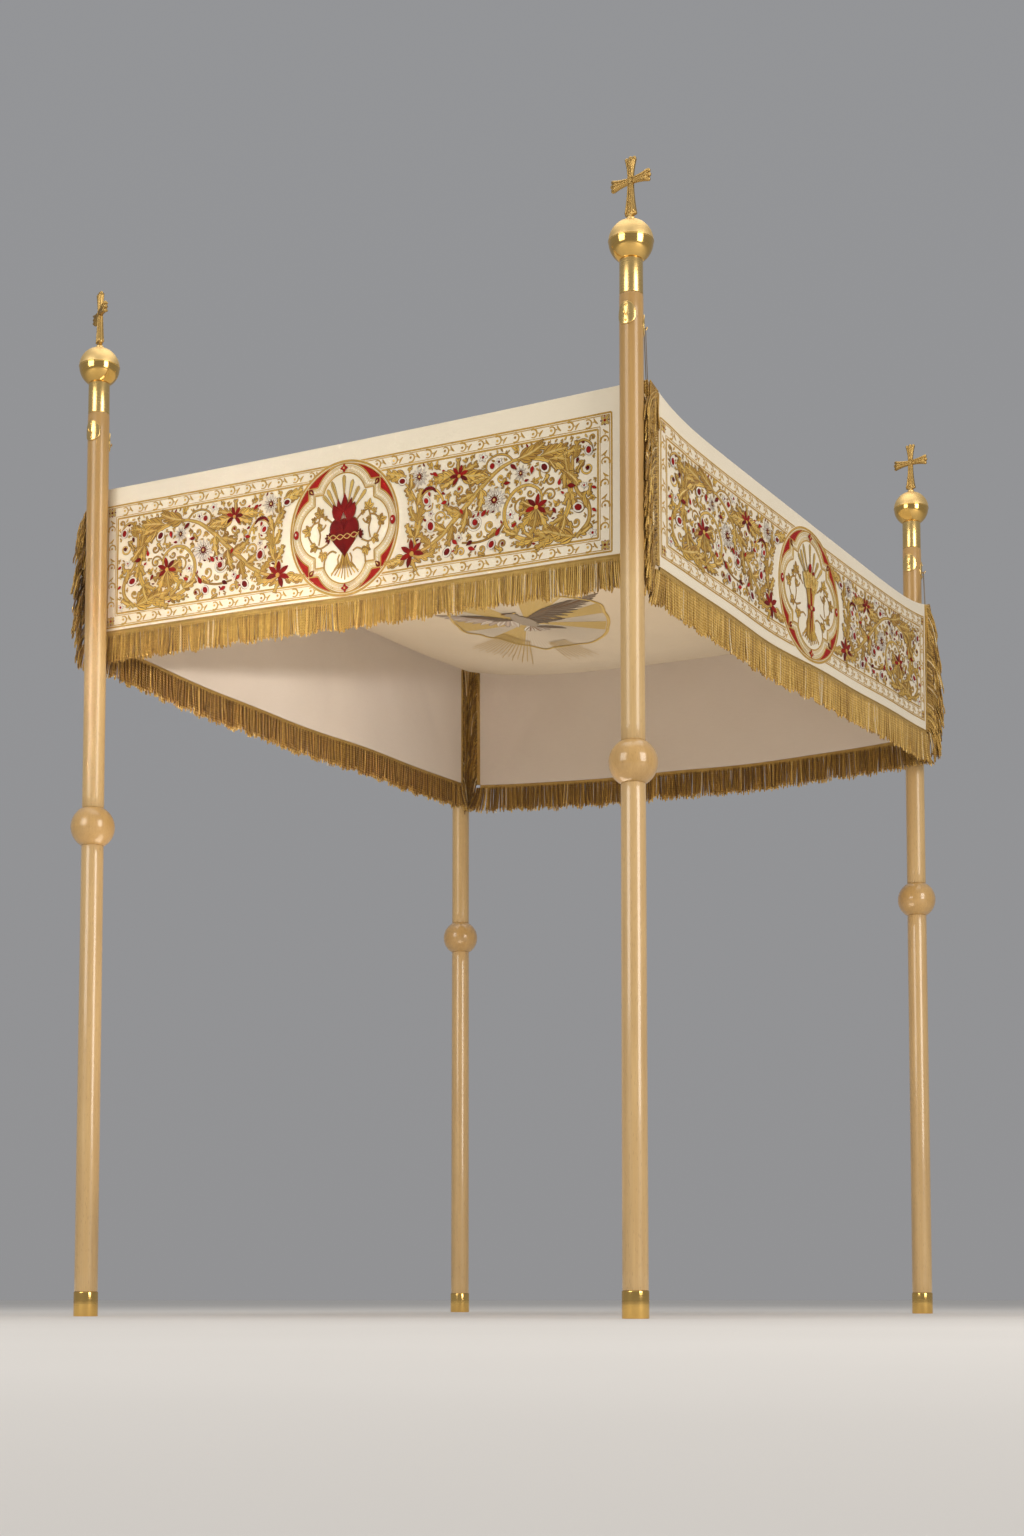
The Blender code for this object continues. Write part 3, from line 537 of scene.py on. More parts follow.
def add_ceiling():
    piece = Piece("ceiling_cloth", "ivory_cloth", "cloth", "ceiling")
    u, v = (np.sin(np.linspace(-1, 1, count) * math.pi / 2) for count in (63, 73))
    x, y = np.meshgrid(u * HALF_W, v * HALF_D)
    faces = (ceiling_places(x, y, lift) for lift in (SHEET_HALF, -SHEET_HALF))
    sheet_loop(piece, *faces, np.stack([x, y], -1), "ceiling")
    obj = piece.make("ceiling")


def add_valance(side):
    piece = Piece(f"valance_cloth_{side.name}", "ivory_cloth", "cloth", "lining")
    s, d = np.meshgrid(np.linspace(CORNER_NOTCH, side.length - CORNER_NOTCH, 112), np.linspace(1.0, 0.0, 23))
    faces = (side_places(side, s, d, SHEET_MIDDLE + half) for half in (SHEET_HALF, -SHEET_HALF))
    sheet_loop(piece, *faces, np.stack([s, (1 - d) * VALANCE_DROP], -1), "lining")
    return piece.make(f"valance_{side.name}")


# Embroidery, drawn in flat pattern sizes and laid on the cloth

PATTERN_HEIGHT = 0.352
FIELD_WIDTH = 0.471
FIELD_HEIGHT = 0.229
LAYERS = {"stem": 0.0, "leaf": 0.0007, "bloom": 0.0014, "gem": 0.0020}
LEAF_GROWTH = 1.10
LEAF_FATNESS = 0.33
LEAF_SPREAD = 46
LEAF_OUTLINE = 0.0013
STEM_GROWTH = 1.36
MOST_FILLERS = 175
FILL_STEP = 0.004


def random_shade(chance, mean, spread, most=1.0):
    return min(max(chance.gauss(mean, spread), 0.0), most)


def heading(degrees):
    """Unit vectors along a direction and to its left."""
    cosine, sine = cos_sin(degrees)
    return np.array([cosine, sine]), np.array([-sine, cosine])


def smooth(points, step=0.005):
    """A smooth run through control points; each row is x, y and a half width."""
    points = np.asarray(points, float)
    padded = np.concatenate([2 * points[:1] - points[1:2], points, 2 * points[-1:] - points[-2:-1]])
    rows = []
    for a, b, c, d in zip(padded, padded[1:], padded[2:], padded[3:]):
        count = max(2, round(np.linalg.norm(c[:2] - b[:2]) / step))
        t = np.arange(count)[:, None] / count
        rows.append(0.5 * (2 * b + (c - a) * t + (2 * a - 5 * b + 4 * c - d) * t * t
                           + (3 * b - a - 3 * c + d) * t ** 3))
    return np.concatenate(rows + [points[-1:]])


def spiral(x, y, first, last, start, turns, wide, thin):
    """A curl about a point, its radius going from first to last; turns may be negative."""
    t = np.linspace(0.0, 1.0, max(8, round(abs(turns) * 18)))
    radius = first * (last / first) ** t
    angle = math.radians(start) + turns * 2 * math.pi * t
    return np.stack([x + radius * np.cos(angle), y + radius * np.sin(angle), wide + (thin - wide) * t], -1)


def spoke(angle, radii, halves):
    """A straight line out from the middle."""
    return np.column_stack([radii * math.cos(angle), radii * math.sin(angle), np.broadcast_to(halves, radii.shape)])


def ring_rows(radius, half, count):
    """A closed line round the middle; radius may be a function of the angle."""
    angle = np.linspace(0.0, 2 * math.pi, count + 1)
    radius = radius(angle) if callable(radius) else np.full(count + 1, radius)
    return np.column_stack([radius * np.cos(angle), radius * np.sin(angle), np.full(count + 1, half)])


class Needle:
    """Lays raised strokes on a surface. place turns pattern x, y and a height into points."""

    def __init__(self, piece, place, x=0.0, y=0.0, stretch=1.0, tall=1.0, mirrored=False, inside_out=False):
        self.piece, self.place = piece, place
        self.x, self.y, self.stretch, self.tall = x, y, -stretch if mirrored else stretch, tall
        self.flip = mirrored != inside_out
        self.samples = []
        self.chance = random.Random(3)

    def at(self, x, y, height):
        return self.place(self.x + self.stretch * x, self.y + self.tall * y, height)

    def ribbon(self, rows, finish, lift, rise, columns=3, grow=0.0, shade=None):
        """A strip along rows of x, y and half width, highest along its middle."""
        rows = np.asarray(rows, float)
        tangent = unit(np.gradient(rows[:, :2], axis=0))
        half = (rows[:, 2] + grow)[:, None]
        offset = np.linspace(-1.0, 1.0, columns)
        x = rows[:, :1] + tangent[:, 1:2] * offset * half
        y = rows[:, 1:2] - tangent[:, :1] * offset * half
        height = np.broadcast_to(lift + rise * (1.0 - offset ** 2), x.shape)
        if shade is None:
            shade = random_shade(self.chance, 0.50, 0.28)
        self.piece.grid(self.at(x, y, height), uv_grid(offset * half, run_along(rows[:, :2])), shade, finish,
                        flip=self.flip)

    def stroke(self, points, finish="gold", layer="stem", outline=0.0009, vein=None, raw=False, shade=None,
               rise=0.0006):
        """An outlined raised stroke, with an optional paler line along its middle."""
        rows = np.array(points, float) if raw else smooth(points)
        if vein and not raw:
            rows[:, 2] *= STEM_GROWTH
        base = LAYERS[layer]
        if outline:
            self.ribbon(rows, "brown", base + 0.0003, 0.0, 2, outline)
        self.ribbon(rows, finish, base + 0.0005, rise, 3, 0.0, shade)
        if vein:
            inner = rows * (1.0, 1.0, 0.20 if vein == "brown" else 0.30)
            self.ribbon(inner, vein, base + 0.0005 + rise * 1.02, 0.0, 2)
        self.samples.append(rows[::2])

    def petal(self, x, y, degrees, length, half, finish="gold", layer="leaf", bend=0.0, outline=0.0008,
              vein="light_gold", fullness=0.8, count=8, shade=None):
        """A pointed lobe from a root; bend moves its tip sideways."""
        t = np.linspace(0.0, 1.0, count)
        forward, side = heading(degrees)
        path = np.array([x, y]) + forward * (length * t)[:, None] + side * (bend * length * t ** 2)[:, None]
        width = half * np.sin(math.pi * np.clip(t, 0.03, 0.985) ** fullness) ** 0.8
        self.stroke(np.column_stack([path, width]), finish, layer, outline, vein, True, shade)

    def leaf(self, x, y, degrees, length, bend, lobes):
        """An acanthus leaf: pairs of curved lobes along a bent midrib."""
        length *= LEAF_GROWTH
        forward, side = heading(degrees)
        for k in range(lobes):
            t = 0.10 + 0.66 * k / max(lobes - 1, 1)
            root = np.array([x, y]) + forward * length * t + side * bend * length * t * t
            turn = math.degrees(math.atan(2 * bend * t))
            reach = length * (0.44 - 0.22 * t)
            for hand in (-1, 1):
                self.petal(*root, degrees + turn + hand * LEAF_SPREAD, reach, reach * LEAF_FATNESS * 0.60, "gold",
                           "leaf", -hand * 0.30, LEAF_OUTLINE, "brown" if reach > 0.012 else None, 1.1, 5)
        self.petal(x, y, degrees, length, length * LEAF_FATNESS * 0.32, "gold", "leaf", bend, LEAF_OUTLINE,
                   "light_gold", 1.0, 10)

    def blob(self, x, y, radius, finish, layer, outline=0.0007, rise=0.0010, shade=None, squash=1.0, degrees=0.0):
        """A round or oval raised spot."""
        t = np.linspace(-0.985, 0.985, 8)
        cosine, sine = cos_sin(degrees)
        rows = np.column_stack([x + radius * t * cosine, y + radius * t * sine, radius * squash * np.sqrt(1 - t ** 2)])
        self.stroke(rows, finish, layer, outline, None, True, shade, rise)

    def gem(self, x, y, radius, degrees):
        """A red oval in a white surround with a dark edge."""
        squash = 0.72
        self.blob(x, y, radius * 1.50, "white", "bloom", 0.0011, 0.0003, None, squash * 1.08, degrees)
        self.blob(x, y, radius, "red", "gem", 0.0005, squash=squash, degrees=degrees)

    def drop(self, x, y, degrees, length, half, finish="red", layer="gem"):
        self.petal(x, y, degrees, length, half, finish, layer, 0.0, 0.0007, None, 1.35, 7)

    def star(self, x, y, radius, degrees):
        """Five white petals round a red middle."""
        for k in range(5):
            self.petal(x, y, degrees + 360.0 * k / 5, radius, radius * 0.26, "white", "leaf",
                       0.12, 0.0006, None, 0.7, 7)
        self.blob(x, y, radius * 0.27, "red", "bloom", 0.0006)

    def daisy(self, x, y, radius, petals):
        """Pale stippled rays round a red-brown middle."""
        for k in range(petals):
            self.petal(x, y, 360.0 * k / petals, radius * (1.0 if k % 2 else 0.86), radius * 0.12, "white", "leaf",
                       0.0, 0.0004, "brown", 0.6, 6)
        for k in range(8):
            angle = 2 * math.pi * k / 8
            self.blob(x + radius * 0.36 * math.cos(angle), y + radius * 0.36 * math.sin(angle), radius * 0.07,
                      "brown", "bloom", 0.0)
        self.blob(x, y, radius * 0.26, "red", "bloom", 0.0007, 0.0008, 0.2)
        self.blob(x, y, radius * 0.11, "light_gold", "gem", 0.0)

    def curl(self, x, y, radius, start, turns, bead="gold", finish="gold", wide=0.0019):
        rows = spiral(x, y, radius, radius * 0.26, start, turns, wide, 0.0010)
        self.stroke(rows, finish, "stem", 0.0008, None, True)
        if bead:
            self.blob(x, y, radius * 0.24, bead, "bloom", 0.0006)

    def red_spray(self, x, y, size, degrees, spread, count):
        """A fan of red petals with a gold knot, as in the middle of the leaf flowers."""
        for k in range(count):
            turn = degrees + spread * (k / (count - 1) - 0.5)
            aside = k - (count - 1) / 2
            self.petal(x, y, turn, size * (1.0 - 0.25 * abs(aside) / count), size * 0.17, "red", "bloom", 0.1 * aside,
                       0.0006, None, 1.2, 7)
        self.blob(x, y, size * 0.16, "gold", "gem", 0.0005)

    def fill_gaps(self, width, height, least):
        """Small curls, sprigs and seeds in the places left free, the widest first."""
        samples = np.concatenate(self.samples)
        gx, gy = np.meshgrid(*(np.arange(FILL_STEP, size - 0.003, FILL_STEP) for size in (width, height)))
        spots = np.stack([gx.ravel(), gy.ravel()], -1)
        free = np.minimum.reduce([spots[:, 0], width - spots[:, 0], spots[:, 1], height - spots[:, 1]])
        for chunk in np.array_split(samples, max(1, len(samples) // 400)):
            gap = np.linalg.norm(spots[:, None] - chunk[None, :, :2], axis=2) - np.maximum(chunk[None, :, 2], 0.001)
            free = np.minimum(free, gap.min(1))
        number = 0
        while free.max() > least and number < MOST_FILLERS:
            best = int(free.argmax())
            size = float(free[best])
            self.filler(*spots[best], size * 0.92, self.chance.uniform(0, 360), number)
            number += 1
            free = np.minimum(free, np.linalg.norm(spots - spots[best], axis=1) - size * 0.95)

    def sprig(self, x, y, degrees, length, hand, pairs):
        """A short bent stem with alternate leaflets and one at its tip."""
        forward, side = heading(degrees)
        t = np.linspace(0.0, 1.0, 5)
        path = (np.array([x, y]) + forward * (length * t)[:, None]
                + side * hand * (0.30 * length * np.sin(t * 2.6))[:, None])
        self.stroke(np.column_stack([path, np.full(5, 0.0009)]), "gold", "stem", 0.0006, None, True)
        reach = length * 0.52
        for k in range(pairs):
            for turn, bend in ((-62, 0.25), (58, -0.25)):
                self.petal(*path[1 + k], degrees + turn + 12 * k * hand, reach * (1.0 - 0.14 * k), reach * 0.24, "gold",
                           "leaf", bend, 0.0006, None, 1.1, 4)
        self.petal(*path[-2], degrees - 30 * hand, reach * 1.1, reach * 0.26, "gold", "leaf", 0.2, 0.0006, None, 1.1, 4)

    def filler(self, x, y, size, turn, number):
        hand = 1 if number % 2 else -1
        cosine, sine = cos_sin(turn)
        root = (x - size * 0.9 * cosine, y - size * 0.9 * sine)
        if size > 0.0125:
            self.curl(x, y, size * 0.86, turn, hand * 1.2, "red" if number % 3 == 0 else "gold")
            self.leaf(x + size * 0.86 * cosine, y + size * 0.86 * sine, turn + hand * 100, size * 1.25, hand * 0.4, 2)
        elif size > 0.0080:
            if number % 5 == 0:
                self.star(x, y, size, turn)
            elif number % 5 == 1:
                self.curl(x, y, size * 0.86, turn, 1.1, "gold", "gold", 0.0016)
            else:
                self.sprig(*root, turn, size * 1.6, hand, 3)
        elif size > 0.0052:
            if number % 5 == 0:
                self.drop(*root, turn, size * 1.7, size * 0.42)
            else:
                self.sprig(*root, turn, size * 1.5, hand, 1)
        else:
            self.petal(*root, turn, size * 1.9, size * 0.42, "gold" if number % 4 else "red", "leaf", 0.4 * hand,
                       0.0005, None, 1.2, 5)


# The stems of half a side: outline in tenths of a millimetre, whether they have a pale vein, and places in millimetres
# with half widths in tenths
STEMS = (
    (11, True, (205, 197, 20), (172, 197, 28), (130, 188, 34), (88, 163, 38), (67, 120, 40), (70, 75, 40), (98, 36, 38),
     (143, 18, 34), (190, 26, 31), (222, 56, 28), (226, 96, 25), (202, 130, 22), (168, 138, 19), (140, 122, 16),
     (134, 98, 13)),
    (10, True, (52, 8, 30), (22, 40, 30), (24, 78, 28), (50, 108, 26), (60, 150, 24), (58, 190, 20), (40, 214, 16),
     (18, 205, 13), (12, 186, 10)),
    (11, True, (205, 197, 18), (240, 184, 26), (280, 155, 34), (318, 120, 38), (352, 90, 36), (388, 58, 32),
     (430, 36, 26), (462, 29, 18)),
    (10, False, (352, 92, 26), (374, 118, 24), (386, 148, 21), (404, 166, 18), (428, 162, 16), (440, 142, 14),
     (430, 122, 12), (412, 122, 10), (408, 136, 9)),
    (10, False, (442, 30, 24), (456, 60, 26), (452, 96, 24), (448, 132, 21), (462, 168, 18), (484, 196, 14)),
    (9, False, (205, 197, 18), (222, 212, 20), (246, 216, 18), (268, 206, 16), (272, 188, 14), (260, 176, 12),
     (246, 182, 10)),
    (9, False, (318, 122, 22), (312, 150, 20), (322, 176, 17), (340, 187, 12)),
    (9, False, (226, 70, 22), (244, 48, 22), (270, 36, 20), (300, 32, 18), (334, 36, 14)),
)
# Direction in degrees and length in millimetres of the leaves round the large scroll
SCROLL_LEAVES = ((112, 40), (146, 44), (178, 36), (212, 46), (244, 44), (276, 40), (306, 36))
# What is set on the stems, in the order of the work: the kind of motif, and its values with sizes in millimetres
# leaf: x, y, length, degrees, bend, lobes; spray: x, y, size, degrees, spread, count; daisy: x, y, radius, petals
MOTIFS = (
    ("leaf", (196, 198, 66, 172, -0.22, 4), (138, 196, 62, 168, 0.10, 4), (88, 186, 44, 150, 0.35, 3),
     (66, 142, 50, 60, 0.35, 3), (58, 176, 36, 118, -0.3, 3), (52, 10, 68, 8, 0.18, 4), (44, 14, 30, 168, -0.3, 2),
     (24, 66, 34, 60, 0.3, 2), (24, 90, 26, 118, -0.3, 2), (100, 10, 50, 14, 0.2, 3), (262, 170, 46, 8, -0.3, 3),
     (286, 150, 46, -102, 0.35, 3), (300, 140, 44, -8, -0.2, 3), (322, 114, 50, -96, 0.40, 3),
     (334, 104, 44, 4, 0.35, 3), (358, 82, 44, -92, 0.35, 3), (372, 70, 46, 8, 0.40, 3), (398, 50, 34, -70, 0.30, 3),
     (412, 42, 38, 30, 0.30, 3), (340, 186, 62, 196, -0.18, 4), (340, 186, 46, 150, 0.15, 3),
     (344, 184, 56, 12, -0.22, 4), (344, 184, 44, -34, 0.20, 3), (342, 188, 34, 84, 0.1, 2),
     (456, 62, 40, 128, -0.35, 3), (456, 66, 34, 40, 0.35, 3), (451, 98, 42, 132, -0.35, 3),
     (451, 102, 34, 48, 0.30, 3), (450, 134, 36, 122, -0.30, 3), (456, 150, 32, 34, 0.35, 3),
     (466, 172, 34, 110, -0.30, 3), (484, 196, 40, 34, -0.30, 3), (476, 206, 50, 10, 0.10, 3),
     (480, 30, 46, -30, 0.20, 3), (500, 12, 34, 6, 0.15, 3), (148, 86, 40, 200, 0.15, 3), (148, 86, 52, 236, 0.15, 3),
     (148, 86, 52, 272, 0.15, 3),
     (148, 86, 52, 308, 0.15, 3), (148, 86, 40, 344, 0.15, 3), (148, 86, 40, 20, 0.15, 3)),
    ("spray", (148, 86, 30, 100, 200, 5), (340, 184, 26, 80, 230, 6)),
    ("leaf", (462, 26, 52, 196, -0.25, 3), (466, 20, 30, 236, 0.2, 2), (478, 22, 40, -18, 0.25, 3)),
    ("spray", (462, 30, 34, 60, 230, 6)),
    ("daisy", (252, 118, 30, 16), (442, 199, 24, 14), (186, 166, 18, 10)),
)
# Curls: x, y, radius, start, turns, bead, finish and half width; gems: x, y, radius, degrees
CURLS = (
    (0.300, 0.076, 0.028, 150, -1.7, "red", "white", 0.0022), (0.300, 0.076, 0.034, 160, -0.9, None, "gold", 0.0016),
    (0.046, 0.070, 0.026, 40, 0.8, None, "gold", 0.0018), (0.124, 0.164, 0.020, -60, 1.1, None, "gold", 0.0018),
    (0.186, 0.092, 0.022, 120, -1.2, "gold", "gold", 0.0018), (0.114, 0.108, 0.018, 0, 1.2, "gold", "gold", 0.0016),
    (0.392, 0.100, 0.018, 200, -1.1, "gold", "gold", 0.0018),
)
GEMS = (
    (0.021, 0.190, 0.0078, 80), (0.046, 0.071, 0.0090, 20), (0.128, 0.170, 0.0085, 50), (0.413, 0.084, 0.0095, 80),
    (0.486, 0.196, 0.0075, 10), (0.371, 0.021, 0.0085, 130), (0.259, 0.022, 0.0080, 120), (0.424, 0.142, 0.0070, 60),
)
# Drops: x and y in millimetres, degrees, length in millimetres and half width in tenths
DROPS = (
    (52, 118, 10, 20, 50), (238, 56, -60, 20, 50), (322, 28, 150, 17, 44), (344, 34, 40, 17, 44),
    (196, 176, 40, 20, 44), (160, 160, 100, 17, 44), (272, 100, -50, 18, 44), (330, 98, 60, 14, 36),
    (300, 16, 20, 18, 44), (386, 130, 170, 15, 40), (212, 150, 0, 16, 40), (100, 66, 60, 15, 38),
    (196, 60, -30, 15, 38), (90, 140, -80, 15, 38), (394, 192, 40, 16, 40),
)


def half_field(n):
    """The scroll work of half a side, from the frame at x 0 to the medallion."""
    for outline, veined, *points in STEMS:
        n.stroke(np.array(points) / (1000, 1000, 10000), "gold", "stem", outline / 10000,
                 "light_gold" if veined else None)
    for degrees, reach in SCROLL_LEAVES:
        cosine, sine = cos_sin(degrees)
        x, y = 0.147 + 0.081 * cosine, 0.105 + 0.087 * sine
        n.leaf(x, y, degrees + 62, reach / 1000, 0.5 * 0.6, 3)
        n.leaf(x, y, degrees + 128, reach / 1000 * 0.78, 0.5 * -0.2, 2)
    for kind, *motifs in MOTIFS:
        for x, y, size, *rest in motifs:
            x, y, size = x / 1000, y / 1000, size / 1000
            if kind == "leaf":
                n.leaf(x, y, rest[0], size, *rest[1:])
            elif kind == "spray":
                n.red_spray(x, y, size, *rest)
            else:
                n.daisy(x, y, size, *rest)
    n.blob(0.257, 0.193, 0.0060, "red", "bloom")
    for curl in CURLS:
        n.curl(*curl)
    for gem in GEMS:
        n.gem(*gem)
    n.stroke([(0.398, 0.158, 0.0012), (0.408, 0.168, 0.0032), (0.424, 0.169, 0.0034), (0.436, 0.158, 0.0012)],
             "red", "bloom", 0.0007)
    for x, y, degrees, length, half in DROPS:
        n.drop(x / 1000, y / 1000, degrees, length / 1000, half / 10000)
    n.fill_gaps(FIELD_WIDTH + 0.006, FIELD_HEIGHT, 0.0042)


LINE_SHADE = 0.42


def border_run(n, start, end, level, vertical=False):
    """C scrolls with leaf tails and dots between the frame's lines."""
    cells = max(2, round(abs(end - start) / 0.043))
    for i in range(cells):
        hand = 1 if i % 2 else -1
        along = start + (end - start) * (i + 0.5) / cells
        for rows in (
                spiral(-0.002, 0.0, 0.0112, 0.0074, 115 * hand, -0.66 * hand, 0.0024, 0.0012),
                smooth([(0.0125, -0.0085 * hand, 0.0010), (0.0155, -0.0010 * hand, 0.0025),
                        (0.0215, 0.0045 * hand, 0.0010)])):
            x, y = along + rows[:, 0], level + rows[:, 1]
            n.ribbon(np.column_stack([y, x, rows[:, 2]] if vertical else [x, y, rows[:, 2]]), "gold", 0.0001, 0.0007,
                     shade=LINE_SHADE)
        for step, radius in ((-0.0020, 0.0029), (0.0110, 0.0016)):
            spot = (level, along + step) if vertical else (along + step, level)
            n.blob(*spot, radius, "gold", "stem", 0.0, 0.0007)


def frame_border(n, x0, x1, y0, y1, band):
    """Double gold lines outside, one thicker line inside, scrolls between and a flower at each corner."""
    for inset, half in ((0.0, 0.0020), (0.0046, 0.0010), (band - 0.0050, 0.0009), (band, 0.0022)):
        left, right, low, high = x0 + inset, x1 - inset, y0 + inset, y1 - inset
        corners = [(left, low), (right, low), (right, high), (left, high)]
        for a, b in zip(corners, corners[1:] + corners[:1]):
            count = max(2, round(math.dist(a, b) / 0.02))
            t = np.linspace(0.0, 1.0, count + 1)
            rows = [a[0] + (b[0] - a[0]) * t, a[1] + (b[1] - a[1]) * t, np.full(count + 1, half)]
            n.ribbon(np.column_stack(rows), "gold", 0.0001, 0.0007, shade=LINE_SHADE)
    middle = band * 0.48
    for level in (y0 + middle, y1 - middle):
        border_run(n, x0 + band, x1 - band, level)
    for level in (x0 + middle, x1 - middle):
        border_run(n, y0 + band, y1 - band, level, True)
    for x in (x0 + middle, x1 - middle):
        for y in (y0 + middle, y1 - middle):
            for k in range(4):
                n.petal(x, y, 45 + 90 * k, 0.0125, 0.0036, "light_gold", "stem", 0.0, 0.0007, None, 0.9, 6, 0.4)
                n.blob(x + 0.0090 * math.cos(k * math.pi / 2), y + 0.0090 * math.sin(k * math.pi / 2), 0.0017, "red",
                       "stem", 0.0)
            n.blob(x, y, 0.0026, "red", "leaf", 0.0004)


def quatrefoil(angle, lobe, reach, square):
    """The distance from the middle to a four-lobed shape with a square's corners between its lobes."""
    cosine, sine = np.abs(np.cos(angle)), np.abs(np.sin(angle))
    main, cross = np.maximum(cosine, sine), np.minimum(cosine, sine)
    inside = np.maximum(lobe ** 2 - (reach * cross) ** 2, 0.0)
    round_part = np.where(lobe >= reach * cross, reach * main + np.sqrt(inside), 0.0)
    return np.maximum(round_part, square / main)


def outer_edge(angle):
    return quatrefoil(angle, 0.0810, 0.0600, 0.0972)


def inner_edge(angle):
    return quatrefoil(angle, 0.0597, 0.0613, 0.0800)


SPANDREL_EDGE = 0.1400


def medallion(n, device):
    """Two gold rings, red spandrels, a barbed four-lobed band and the device in the middle."""
    for radius, half in ((0.1462, 0.0026), (0.1408, 0.0012)):
        n.ribbon(ring_rows(radius, half, 160), "gold", 0.0003, 0.0010, shade=LINE_SHADE)
    angle = np.linspace(0.0, 2 * math.pi, 361)
    edge = outer_edge(angle) + 0.0020
    space = SPANDREL_EDGE - edge
    rows = np.column_stack([(edge + SPANDREL_EDGE) / 2 * np.cos(angle), (edge + SPANDREL_EDGE) / 2 * np.sin(angle),
                            space / 2])
    wide = space > 0.0008
    for run in np.split(np.arange(361), np.flatnonzero(wide[1:] != wide[:-1]) + 1):
        if wide[run[0]] and len(run) > 3:
            n.ribbon(rows[run], "red", 0.0002, 0.0006, shade=0.72)
    for shape, grow, half, finish in (
            (outer_edge, 0.0, 0.0018, "gold"), (outer_edge, -0.0046, 0.0008, "light_gold"),
            (outer_edge, -0.0076, 0.0006, "light_gold"), (inner_edge, 0.0068, 0.0006, "light_gold"),
            (inner_edge, 0.0040, 0.0008, "light_gold"), (inner_edge, 0.0, 0.0018, "gold")):
        n.ribbon(ring_rows(lambda a: shape(a) + grow, half, 240), finish, 0.0003, 0.0008, shade=0.40)
    for k in range(120):
        a = 2 * math.pi * (k + 0.5) / 120
        low, high = inner_edge(a) + 0.0078, outer_edge(a) - 0.0086
        if high - low > 0.002:
            n.ribbon(spoke(a, np.array([low, high]), 0.0005), "light_gold", 0.0002, 0.0004, 2)
    for k in range(4):
        a = k * math.pi / 2
        x, y = 0.1312 * math.cos(a), 0.1312 * math.sin(a)
        if k % 2:
            for j in range(4):
                n.petal(x, y, 90 * j, 0.0098, 0.0034, "red", "leaf", 0.0, 0.0006, None, 0.8, 6, 0.8)
            n.blob(x, y, 0.0024, "light_gold", "bloom", 0.0)
        else:
            n.blob(x, y, 0.0098, "red", "leaf", 0.0010, 0.0012, 0.8, 0.66, 90.0)
            n.blob(x - 0.001, y + 0.001, 0.0030, "white", "gem", 0.0, squash=0.7, degrees=90.0)
        a += math.pi / 4
        n.drop(0.1180 * math.cos(a), 0.1180 * math.sin(a), 45 + 90 * k, 0.0170, 0.0058, "red", "leaf")
        n.drop(0.1210 * math.cos(a), 0.1210 * math.sin(a), 45 + 90 * k, 0.0090, 0.0016, "light_gold", "bloom")
    rays_and_stems(n)
    device(n)


# The device's rays, from root to tip; the vine's stems and leaves at its right, and the lower stems
LANCES = (((-0.026, 0.043), (-0.058, 0.078)), ((-0.022, 0.046), (-0.046, 0.090)), ((-0.012, 0.050), (-0.034, 0.106)),
          ((0.000, 0.070), (0.000, 0.116)), ((0.012, 0.056), (0.024, 0.103)), ((0.020, 0.052), (0.041, 0.086)),
          ((0.028, 0.042), (0.060, 0.076)))
LOW_STEMS = (((0.014, -0.056), (0.019, -0.066), (0.018, -0.076), (0.028, -0.088), (0.037, -0.101)),
             ((0.022, -0.052), (0.034, -0.047), (0.048, -0.054), (0.055, -0.068), (0.056, -0.084)))
VINE_STEMS = (
    ((0.034, 0.016), (0.050, 0.028), (0.066, 0.034)),
    ((0.046, -0.030), (0.066, -0.037), (0.084, -0.028), (0.097, -0.010), (0.098, 0.002)),
    ((0.064, -0.037), (0.062, -0.048), (0.057, -0.056)),
    ((0.066, 0.034), (0.071, 0.012), (0.066, -0.008), (0.070, -0.030)),
    ((0.070, 0.022), (0.084, 0.018), (0.096, 0.006)), ((0.070, 0.000), (0.056, 0.006), (0.050, 0.014)),
)
VINE_LEAVES = ((0.066, 0.036, 75, 0.020), (0.096, 0.004, 10, 0.020), (0.080, -0.031, -40, 0.017),
               (0.058, -0.050, -80, 0.018), (0.068, 0.012, -140, 0.011), (0.080, 0.026, 30, 0.011),
               (0.052, 0.026, 130, 0.009))


def fine_stems(n, stems, hand, half, outline, shade):
    for points in stems:
        n.stroke([(hand * x, y, half) for x, y in points], "gold", "stem", outline, None, False, shade)


def rays_and_stems(n):
    """Lances, a fan of stalks, and at both sides the low stems and the vine with its lobed leaves."""
    t = np.linspace(0.0, 1.0, 10)
    width = 0.0056 * (0.20 + 0.80 * t ** 1.3) * np.sqrt(np.clip(1.0 - t ** 10, 0.03, 1.0))
    for root, tip in LANCES:
        path = np.array(root) + (np.array(tip) - np.array(root)) * t[:, None]
        n.stroke(np.column_stack([path, width]), "light_gold", "leaf", 0.0009, "gold", True, 0.45)
    for k in range(9):
        spread = (k - 4) / 4
        n.stroke([(0.006 * spread, -0.056, 0.0009), (0.016 * spread, -0.080, 0.0012),
                  (0.037 * spread, -0.113 + 0.016 * abs(spread), 0.0018)], "gold", "stem", 0.0008)
    for hand in (-1, 1):
        fine_stems(n, LOW_STEMS, hand, 0.0014, 0.0007, 0.30)
    for hand in (-1, 1):
        fine_stems(n, VINE_STEMS, hand, 0.0013, 0.0008, 0.25)
        for x, y, degrees, size in VINE_LEAVES:
            for step, share in ((-104, 0.60), (104, 0.60), (-52, 0.82), (52, 0.82), (0, 1.0)):
                n.petal(hand * x, y, (degrees if hand > 0 else 180 - degrees) + step, size * share,
                        size * 0.25 * share ** 0.5, "gold", "leaf", 0.0, 0.0009, "brown", 0.9, 6)


